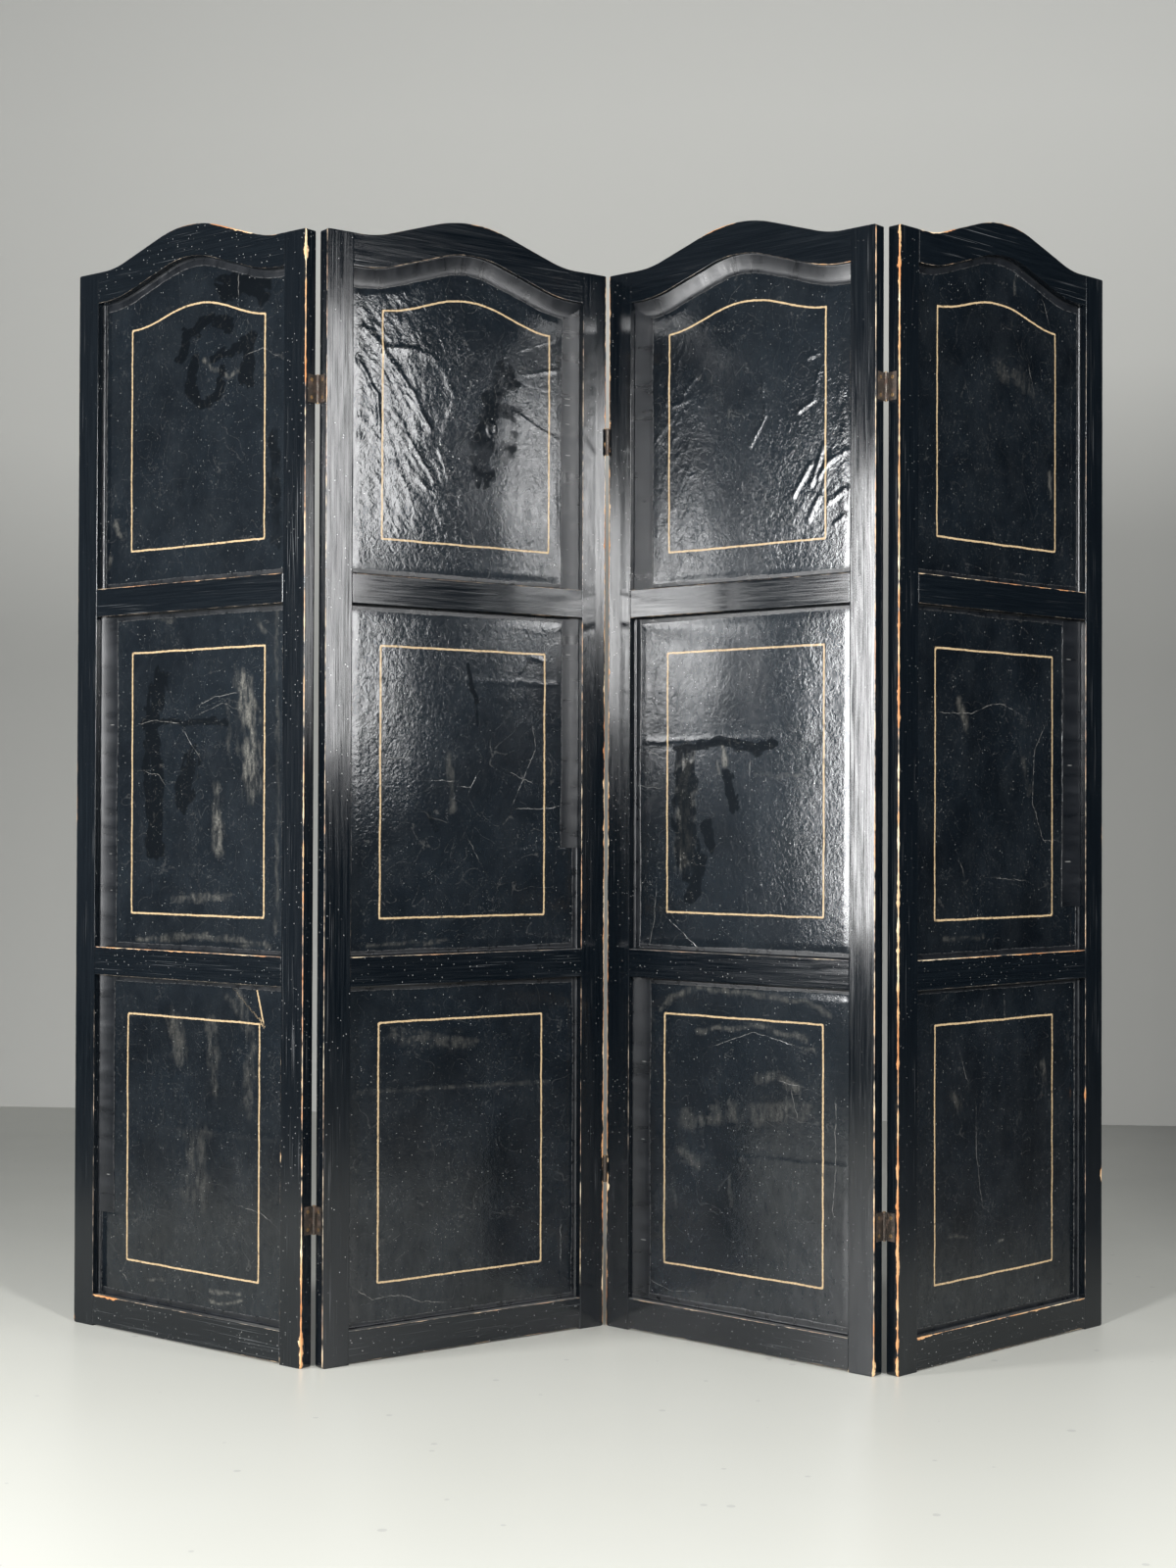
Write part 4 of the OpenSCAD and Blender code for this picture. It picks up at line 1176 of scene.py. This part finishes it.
def crinkleGroup():
    # Crinkled varnish: ridges where two noises cross their middle, over an orange peel and a fine
    # pebble. Cracks are thin stretches of the same crossing in a slower noise.
    g, take = newGroup("crinkled varnish", Vector=None, Crinkle=1.0)
    place = take["Vector"]

    def crossing(scale, reach, detail):
        folded = g.size(g.minus(g.noise(place, scale, detail, 0.55, 0.6), 0.5))
        return g.between(folded, 0.0, reach, 1.0, 0.0)

    ridge = g.plus(crossing(75.0, 0.16, 2.0), g.times(crossing(190.0, 0.16, 2.0), 0.35))
    ridge = g.times(ridge, take["Crinkle"])
    peel, pebble = g.noise(place, 130.0, 4.0, 0.62), g.noise(place, 520.0, 2.0, 0.6)
    fine = g.plus(g.times(peel, 0.8), g.times(pebble, 0.12))
    where = g.between(g.noise(place, 14.0, 3.0), 0.5, 0.66)
    broken = g.between(g.noise(place, 240.0, 2.0), 0.42, 0.56)
    crack = g.times(crossing(42.0, 0.014, 4.0), g.times(where, broken))
    scratch = g.times(crossing(15.0, 0.005, 1.0), broken)
    return g.give(Height=g.plus(g.times(ridge, 0.85), fine), Cracks=g.most(crack, g.times(scratch, 0.7)))


dustSpecks, arrisWorn, longGrain, crinkledVarnish = dustGroup(), wearGroup(), grainGroup(), crinkleGroup()

frameFinish = {
    "black": (0.0014, 0.0026, 0.0042, 1),
    "grey": (0.0052, 0.0078, 0.0105, 1),
    "scratch": (0.15, 0.155, 0.16, 1),
    "thin": (0.36, 0.31, 0.25, 1),      # bare wood seen as a hairline
    "dust": (0.3, 0.3, 0.29, 1),
    "orange": (0.52, 0.2, 0.06, 1),
    "tan": (0.62, 0.36, 0.17, 1),
    "cream": (0.78, 0.64, 0.43, 1),
    "streak": (0.3, 0.14, 0.06, 1),
    "rim": (0.2, 0.13, 0.085, 1),
}


def frameMaterial():
    # black paint brushed along the wood, its grain showing through, worn to the wood at the arrises
    material, m = newMaterial("black brushed paint", (0.02, 0.02, 0.025))
    look, grain, width = frameFinish, m.vector("grain"), m.value("bareWidth")
    streaks = m.group(longGrain, Vector=grain)
    wear = m.group(arrisWorn, Vector=grain, Gap=m.value("arrisGap"), Width=width)
    cloudy = m.noise(grain, (14, 14, 3), 3.0)
    tone = m.times(m.between(streaks["Fine"], 0.35, 0.75), m.between(cloudy, 0.3, 0.7, 0.4, 1))
    paint = m.mix(tone, look["black"], look["grey"])
    hair = m.noise(grain, (900, 900, 7), 1.0, spot=(3, 1, 2))
    patch = m.noise(grain, (20, 20, 5), 2.0, spot=(7, 7, 7))
    scratched = m.times(m.between(hair, 0.67, 0.74), m.between(patch, 0.47, 0.64, 0.0, 0.45))
    paint = m.mix(scratched, paint, look["scratch"])
    paint = m.mix(m.times(m.specks(grain, 200.0, 0.2), 0.75), paint, look["dust"])
    up = m.parts(m.add("NewGeometry").outputs["Normal"])["Z"]
    settled = m.times(m.between(up, 0.55, 0.95), m.between(cloudy, 0.25, 0.75, 0.12, 0.5))
    paint = m.mix(settled, paint, look["dust"])
    paint = m.mix(m.times(wear["Rim"], 0.4), paint, look["rim"])
    age = m.noise(grain, (60, 60, 11), 3.0, spot=(1, 2, 3))
    wood = m.mix(m.between(age, 0.38, 0.5), look["orange"], look["tan"])
    wood = m.mix(m.between(age, 0.5, 0.62), wood, look["cream"])
    wood = m.mix(m.between(streaks["Fine"], 0.35, 0.75, 0.0, 0.5), wood, look["streak"])
    wood = m.mix(m.between(width, 0.25, 1.0, 0.85, 0.0), wood, look["thin"])
    rough = m.between(m.mixValue(0.7, streaks["Streaks"], streaks["Fine"]), 0.38, 0.66, 0.08, 0.21)
    rough = m.mixValue(m.most(settled, scratched), rough, 0.6)
    height = m.minus(streaks["Height"], m.times(wear["Bare"], 0.35))
    wavy = m.noise(grain, (60, 60, 12), 1.0, spot=(5, 5, 5))
    m.connect(Base_Color=m.mix(wear["Bare"], paint, wood), Roughness=m.mixValue(wear["Bare"], rough, 0.7),
              Normal=m.bump(wavy, 0.5, 0.0004, Normal=m.bump(height, 0.8, 0.00011)))
    return material


leatherFinish = {
    "black": (0.0014, 0.0024, 0.0038, 1),
    "grey": (0.0052, 0.008, 0.0112, 1),
    "haze": (0.0115, 0.014, 0.0165, 1),
    "matt": (0.0006, 0.0009, 0.0014, 1),
    "scuff": (0.13, 0.125, 0.11, 1),
    "crack": (0.28, 0.27, 0.25, 1),
    "dust": (0.42, 0.42, 0.4, 1),
    "gold": (0.33, 0.23, 0.125, 1),
    "goldPale": (0.47, 0.355, 0.215, 1),
    "goldHalf": 1.6,         # half the painted line's width, mm
}


def leatherMaterial():
    # black leather under glossy varnish, which is gone from the wiped smears and worn off the scuffs
    material, m = newMaterial("black varnished leather", (0.02, 0.02, 0.025), Coat_Roughness=0.1,
                              Coat_IOR=1.52, Specular_IOR_Level=0.07, Specular_Tint=(0.75, 0.96, 1.15, 1))
    look, place, crinkled = leatherFinish, m.vector("place"), m.value("crinkle")
    crinkle = m.group(crinkledVarnish, Vector=place, Crinkle=crinkled)
    cloud, fineCloud = m.noise(place, 7.0, 4.0, 0.6), m.noise(place, 45.0, 4.0, 0.65)
    tone = m.times(m.between(cloud, 0.35, 0.7), m.between(fineCloud, 0.3, 0.7, 0.5, 1.0))
    skin = m.mix(tone, look["black"], look["grey"])
    bloom = m.between(m.noise(place, (16, 16, 11), 6.0, 0.7), 0.44, 0.7)
    skin = m.mix(m.times(bloom, 0.45), skin, look["haze"])
    grit, brush = m.noise(place, 260.0, 3.0, 0.7), m.noise(place, (110, 110, 34), 4.0, 0.65)
    rubbed = m.times(m.between(brush, 0.4, 0.62, 0.1, 1.0), m.between(grit, 0.35, 0.6, 0.35, 1.0))
    scuffed = m.times(m.value("scuff"), rubbed)
    skin = m.mix(scuffed, skin, look["scuff"])
    ragged = m.plus(m.value("matt"), m.between(fineCloud, 0.2, 0.8, -0.45, 0.45))
    wiped = m.between(ragged, 0.3, 0.75)
    skin = m.mix(m.times(wiped, 0.9), skin, look["matt"])
    fissures = m.times(crinkle["Cracks"], m.between(crinkled, 0.25, 0.7, 0.1, 0.25))
    skin = m.mix(fissures, skin, look["crack"])
    # single cracks and scratches
    broken = m.between(m.noise(place, 120.0, 2.0), 0.35, 0.55, 0.1, 1.0)
    line = m.times(m.between(m.size(m.value("crackGap")), 0.2, 0.8, 1.0, 0.0), broken)
    skin = m.mix(m.times(line, 0.45), skin, look["crack"])
    tiny = m.times(m.specks(place, 400.0, 0.2), m.between(cloud, 0.4, 0.65, 0.2, 0.8))
    skin = m.mix(m.times(m.most(m.specks(place, 170.0, 0.16), tiny), 0.7), skin, look["dust"])
    # the gold line, thinner and broken where it is worn
    ragged = m.between(m.noise(place, 200.0, 3.0, 0.6), 0.3, 0.7, -0.45, 0.45)
    inside = m.minus(m.plus(look["goldHalf"], ragged), m.size(m.value("goldGap")))
    kept = m.between(m.noise(place, 75.0, 4.0, 0.7), 0.3, 0.42, 0.35, 1.0)
    gold = m.times(m.between(inside, -0.1, 0.35), kept)
    goldTone = m.mix(m.between(grit, 0.35, 0.65), look["gold"], look["goldPale"])
    rough = m.mixValue(m.most(wiped, scuffed), m.between(fineCloud, 0.3, 0.7, 0.34, 0.44), 0.5)
    # where the varnish is left
    lost = m.most(m.times(wiped, 0.95), m.times(scuffed, 0.7))
    lost = m.most(lost, m.times(gold, 0.6))
    uneven = m.between(m.noise(place, (70, 70, 32), 4.0, 0.65), 0.35, 0.6, 0.7, 1.0)
    normal = m.bump(m.minus(crinkle["Height"], m.times(line, 0.8)), 0.8, 0.00019)
    m.connect(Base_Color=m.mix(gold, skin, goldTone), Roughness=rough, Normal=normal, Coat_Normal=normal,
              Coat_Weight=m.times(m.minus(1.0, lost, True), uneven))
    return material


tapeFinish = {
    "black": (0.0025, 0.0034, 0.0048, 1),
    "grey": (0.0075, 0.009, 0.0115, 1),
    "torn": (0.2, 0.2, 0.195, 1),
    "dust": (0.4, 0.4, 0.38, 1),
}


def tapeMaterial():
    # thin black leathercloth: fine weave under a glossy coating, a greyer torn edge
    material, m = newMaterial("black leathercloth tape", (0.02, 0.02, 0.025))
    look, grain = tapeFinish, m.vector("grain")
    cloud = m.noise(grain, 40.0, 3.0, 0.6)
    skin = m.mix(m.between(cloud, 0.3, 0.7), look["black"], look["grey"])
    torn = m.times(m.value("rim"), m.between(m.noise(grain, 160.0, 3.0), 0.4, 0.6))
    skin = m.mix(m.times(torn, 0.4), skin, look["torn"])
    skin = m.mix(m.times(m.specks(grain, 190.0, 0.12), 0.35), skin, look["dust"])
    height = m.plus(m.times(m.noise(grain, 900.0, 2.0), 0.2), m.noise(grain, (60, 60, 14), 3.0))
    m.connect(Base_Color=skin, Roughness=m.between(cloud, 0.3, 0.7, 0.24, 0.38),
              Normal=m.bump(height, 0.5, 0.0004))
    return material


clothFinish = {
    "black": (0.016, 0.0155, 0.016, 1),
    "faded": (0.034, 0.031, 0.03, 1),
    "hollow": (0.008, 0.008, 0.008, 1),     # painted shade between the threads
    "dust": (0.35, 0.34, 0.32, 1),
}


def clothMaterial():
    # plain black cotton on the back: threads both ways, faded in patches, with painted shade between the
    # threads
    material, m = newMaterial("black back cloth", (0.03, 0.03, 0.03), Sheen_Weight=0.15, Roughness=0.9)
    look, place = clothFinish, m.vector("place")
    threads = [m.add("TexWave", {"Vector": place, "Scale": 330.0, "Distortion": 0.6, "Detail": 1.0},
                     bands_direction=axis).outputs["Fac"] for axis in ("X", "Z")]
    weave = m.most(*threads)
    cloth = m.mix(m.between(m.noise(place, 5.0, 4.0, 0.6), 0.35, 0.7), look["black"], look["faded"])
    # painted shade between the threads
    cloth = m.mix(m.between(weave, 0.2, 0.9, 0.35, 0.0), cloth, look["hollow"])
    cloth = m.mix(m.times(m.specks(place, 120.0, 0.12), 0.5), cloth, look["dust"])
    m.connect(Base_Color=cloth, Normal=m.bump(weave, 0.5, 0.0002))
    return material


boardFinish = {"early": (0.42, 0.26, 0.13, 1), "late": (0.6, 0.43, 0.26, 1), "fibre": (0.3, 0.18, 0.09, 1)}


def boardMaterial():
    # plain softwood board
    material, m = newMaterial("softwood board", (0.5, 0.34, 0.19), Roughness=0.7)
    look, place = boardFinish, m.place()
    rings = m.add("TexWave", {"Vector": m.stretch(place, (1, 1, 0.06)), "Scale": 26.0, "Distortion": 5.0,
                              "Detail": 2.0}, bands_direction="DIAGONAL").outputs["Fac"]
    fine = m.noise(place, (400, 400, 8), 2.0)
    wood = m.mix(rings, look["early"], look["late"])
    wood = m.mix(m.between(fine, 0.4, 0.7, 0.0, 0.4), wood, look["fibre"])
    m.connect(Base_Color=wood, Normal=m.bump(fine, 0.4, 0.0002))
    return material


# Metals: clean colour, tarnish and rust; how metallic; where rust begins; and a place in the noise
metalFinish = {
    "tarnished hinge steel": ((0.09, 0.075, 0.062, 1), (0.03, 0.025, 0.022, 1), (0.06, 0.034, 0.022, 1),
                              0.7, 0.52, 2.0),
    "dulled brass pin": ((0.46, 0.31, 0.15, 1), (0.2, 0.12, 0.06, 1), (0.1, 0.05, 0.03, 1), 0.9, 0.6, 5.0),
    "dulled brass screws": ((0.42, 0.3, 0.16, 1), (0.17, 0.11, 0.06, 1), (0.1, 0.05, 0.03, 1),
                            0.9, 0.58, 8.0),
    "blacked tacks": ((0.05, 0.048, 0.046, 1), (0.028, 0.026, 0.026, 1), (0.13, 0.06, 0.03, 1),
                      0.6, 0.62, 11.0),
}
metalDust = (0.35, 0.33, 0.3, 1)


def metalMaterial(name):
    # metal under tarnish, with rust in patches
    clean, tarnish, rust, metallic, rusty, seed = metalFinish[name]
    material, m = newMaterial(name, clean[:3])
    place = m.stretch(m.place(), (1, 1, 1), (seed, seed, seed))
    patch, fine = m.noise(place, 110.0, 4.0, 0.65), m.noise(place, 700.0, 3.0, 0.6)
    rusted = m.between(patch, rusty, rusty + 0.12)
    metal = m.mix(rusted, m.mix(m.between(fine, 0.35, 0.65), clean, tarnish), rust)
    metal = m.mix(m.times(m.specks(place, 260.0, 0.2), 0.5), metal, metalDust)
    rough = m.mixValue(rusted, m.between(fine, 0.3, 0.7, 0.32, 0.5), 0.8)
    m.connect(Base_Color=metal, Roughness=rough, Metallic=m.times(m.minus(1.0, rusted), metallic),
              Normal=m.bump(m.plus(fine, rusted), 0.5, 0.00015))
    return material


blackPaint, blackLeather, softwood = frameMaterial(), leatherMaterial(), boardMaterial()
blackTape, blackCloth = tapeMaterial(), clothMaterial()
hingeSteel, pinBrass, screwBrass, tackSteel = (metalMaterial(name) for name in metalFinish)


def dress(piece, material):
    piece.data.materials.clear()
    piece.data.materials.append(material)


for pieces, material in ((framePieces, blackPaint), (leathers, blackLeather), (tapePieces, blackTape),
                         (cloths, blackCloth), (tackPieces, tackSteel)):
    for piece in pieces:
        dress(piece, material)
nodeFinish = {"boards": softwood, "leaves": hingeSteel, "hinge_pins": pinBrass, "hinge_screws": screwBrass,
              "stile": blackPaint, "rail": blackPaint, "leather": blackLeather, "tapes": blackTape,
              "linings": blackCloth}
for name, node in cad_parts.items():
    for ending, material in nodeFinish.items():
        if name.endswith(ending):
            dress(node, material)
print("materials placed on", len(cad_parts), "nodes")


# Room: pale floor and wall, with painted light and shade on both
room = {
    "wallLeft": (-1.742, 3.083),
    "wallRight": (1.655, 2.736),
    "wallReach": 4.5,
    "wallHeight": 4.6,
    "floorReach": 7.0,
    "floorColour": (0.615, 0.615, 0.56, 1),
    "floorFarPaintedShade": (0.49, 0.49, 0.45, 1),
    # painted shade: the floor greyer towards the wall and darker to the right of the screen
    "floorSidePaintedShade": (0.17, 0.17, 0.165, 1),
    "floorNear": (0.24, 0.24, 0.225, 1),        # nearer than the picture shows, and at the far left
    "floorCloud": (0.45, 0.46, 0.46, 1),
    "floorSpeck": (0.3, 0.3, 0.3, 1),
    "wallTint": (1.0, 0.995, 0.94, 1),
    "wallLeftPaintedLight": (0.51, 0.39, 0.49),       # painted light and shade: low, middle and top
    "wallRightPaintedLight": (0.365, 0.335, 0.535),
}


def flatSheet(name, corners):
    mesh = bpy.data.meshes.new(name)
    mesh.from_pydata(corners, [], [(0, 1, 2, 3)])
    sheet = bpy.data.objects.new(name, mesh)
    bpy.context.scene.collection.objects.link(sheet)
    return sheet


reach = room["floorReach"]
floor = flatSheet("pale_floor", [(-reach, -reach, 0), (reach, -reach, 0), (reach, reach, 0),
                                 (-reach, reach, 0)])
wallA, wallB = np.array(room["wallLeft"]), np.array(room["wallRight"])
wallRun = (wallB - wallA) / np.linalg.norm(wallB - wallA)
mid = (wallA + wallB) / 2
endA, endB = mid - wallRun * room["wallReach"], mid + wallRun * room["wallReach"]
wallTop = room["wallHeight"]
wall = flatSheet("pale_wall", [(*endA, 0), (*endB, 0), (*endB, wallTop), (*endA, wallTop)])


def floorMaterial():
    # pale, with painted shade: greyer towards the wall and darker to the right of the screen
    material, m = newMaterial("pale floor", (0.7, 0.7, 0.7))
    place = m.place()
    parts, cloud = m.parts(place), m.noise(place, 1.6, 3.0)
    base = m.mix(m.between(parts["Y"], -0.2, 2.2), room["floorColour"], room["floorFarPaintedShade"])
    base = m.mix(m.between(parts["X"], 1.15, 1.9), base, room["floorSidePaintedShade"])
    outside = m.most(m.between(parts["Y"], -1.15, -1.9), m.between(parts["X"], -1.85, -2.5))
    base = m.mix(outside, base, room["floorNear"])
    base = m.mix(m.between(cloud, 0.3, 0.7, 0.0, 0.12), base, room["floorCloud"])
    base = m.mix(m.times(m.specks(place, 28.0, 0.14), 0.35), base, room["floorSpeck"])
    m.connect(Base_Color=base, Roughness=m.between(cloud, 0.3, 0.7, 0.3, 0.42))
    return material


def wallMaterial():
    # painted light and shade at three heights, blended from the left end to the right, and clear from behind
    material, m = newMaterial("pale wall", (0.5, 0.5, 0.5), Roughness=0.9)
    parts, shades = m.parts(m.place()), []
    for low, middle, top in (room["wallLeftPaintedLight"], room["wallRightPaintedLight"]):
        lower = m.between(parts["Z"], 0.1, 1.3, low, middle)
        shades.append(m.plus(lower, m.between(parts["Z"], 1.3, 2.9, 0.0, top - middle)))
    # the painted light and shade of both ends, blended from the left end to the right
    shade = m.mixValue(m.between(parts["X"], -1.6, 1.6), *shades)
    shade = m.add("CombineXYZ", {"X": shade, "Y": shade, "Z": shade}).outputs[0]
    m.connect(Base_Color=m.mix(1.0, shade, room["wallTint"], "MULTIPLY"))
    behind = m.add("NewGeometry").outputs["Backfacing"]
    both = m.add("MixShader", {0: behind, 1: m.shader.outputs[0], 2: m.add("BsdfTransparent").outputs[0]})
    m.tree.links.new(both.outputs[0], m.tree.nodes["Material Output"].inputs["Surface"])
    return material


dress(floor, floorMaterial())
dress(wall, wallMaterial())

# Light: a dim room, two bright panels at the sides, whose reflections lie on the folds, and two
# smaller ones in front. A lamp is where it hangs, what it faces, its breadth and height, its radiance.
lamps = {
    "rightWindow": ((2.6, -1.75, 1.72), (-0.4, -0.15, 1.3), (0.56, 1.34), 16.5),
    "leftWindow": ((-2.6, -1.25, 1.2), (0.42, -0.18, 1.1), (0.54, 1.35), 30.0),
    "frontRight": ((1.86, -3.75, 1.95), (0.1, 0.1, 1.2), (0.42, 0.75), 165.0),
    "frontLeft": ((-2.05, -3.75, 1.62), (-0.1, 0.1, 1.2), (0.5, 0.75), 165.0),
}
roomLight = {"colour": (0.84, 0.96, 1.08), "left": 0.16, "right": 0.025}


def panelLamp(name, at, toward, size, radiance):
    # a rectangle whose watts give the wanted radiance: watts = pi times area times radiance
    data = bpy.data.lights.new(name, "AREA")
    data.shape, data.size, data.size_y = "RECTANGLE", size[0], size[1]
    data.energy = math.pi * size[0] * size[1] * radiance
    lamp = bpy.data.objects.new(name, data)
    bpy.context.scene.collection.objects.link(lamp)
    away = np.array(at, float) - np.array(toward, float)
    away /= np.linalg.norm(away)
    across = np.cross((0, 0, 1), away)
    across /= np.linalg.norm(across)
    up = np.cross(away, across)
    lamp.matrix_world = Matrix([(across[k], up[k], away[k], at[k]) for k in range(3)] + [(0, 0, 0, 1)])


for name, values in lamps.items():
    panelLamp(name, *values)
world = bpy.data.worlds.new("dim room")
world.use_nodes = True
sky = Nodes(world.node_tree)
sky.shader = sky.tree.nodes["Background"]
sky.shader.inputs["Color"].default_value = (*roomLight["colour"], 1)
sideways = sky.parts(sky.add("TexCoord").outputs["Generated"])["X"]
sky.connect(Strength=sky.between(sideways, -0.6, 0.8, roomLight["left"], roomLight["right"]))
bpy.context.scene.world = world

# Camera, as fitted to the folds' corners
cameraPlace = {
    "at": (-0.002475, -3.75393, 0.85984),
    "pitch": 0.613,
    "roll": 0.197,
    "focal": 2350.895,       # pixels of a frame 1600 high
    "centreRow": 809.82,
    "rows": 1600,
}
cameraData = bpy.data.cameras.new("camera")
cameraData.sensor_width = 36.0
cameraData.lens = cameraPlace["focal"] / cameraPlace["rows"] * cameraData.sensor_width
cameraData.shift_y = (cameraPlace["centreRow"] - cameraPlace["rows"] / 2) / cameraPlace["rows"]
camera = bpy.data.objects.new("camera", cameraData)
bpy.context.scene.collection.objects.link(camera)
camera.matrix_world = (Matrix.Translation(cameraPlace["at"])
                       @ Matrix.Rotation(math.radians(90 + cameraPlace["pitch"]), 4, "X")
                       @ Matrix.Rotation(math.radians(cameraPlace["roll"]), 4, "Z"))
bpy.context.scene.camera = camera
bpy.context.scene.view_settings.view_transform = "Standard"
print("room, lamps and camera placed")
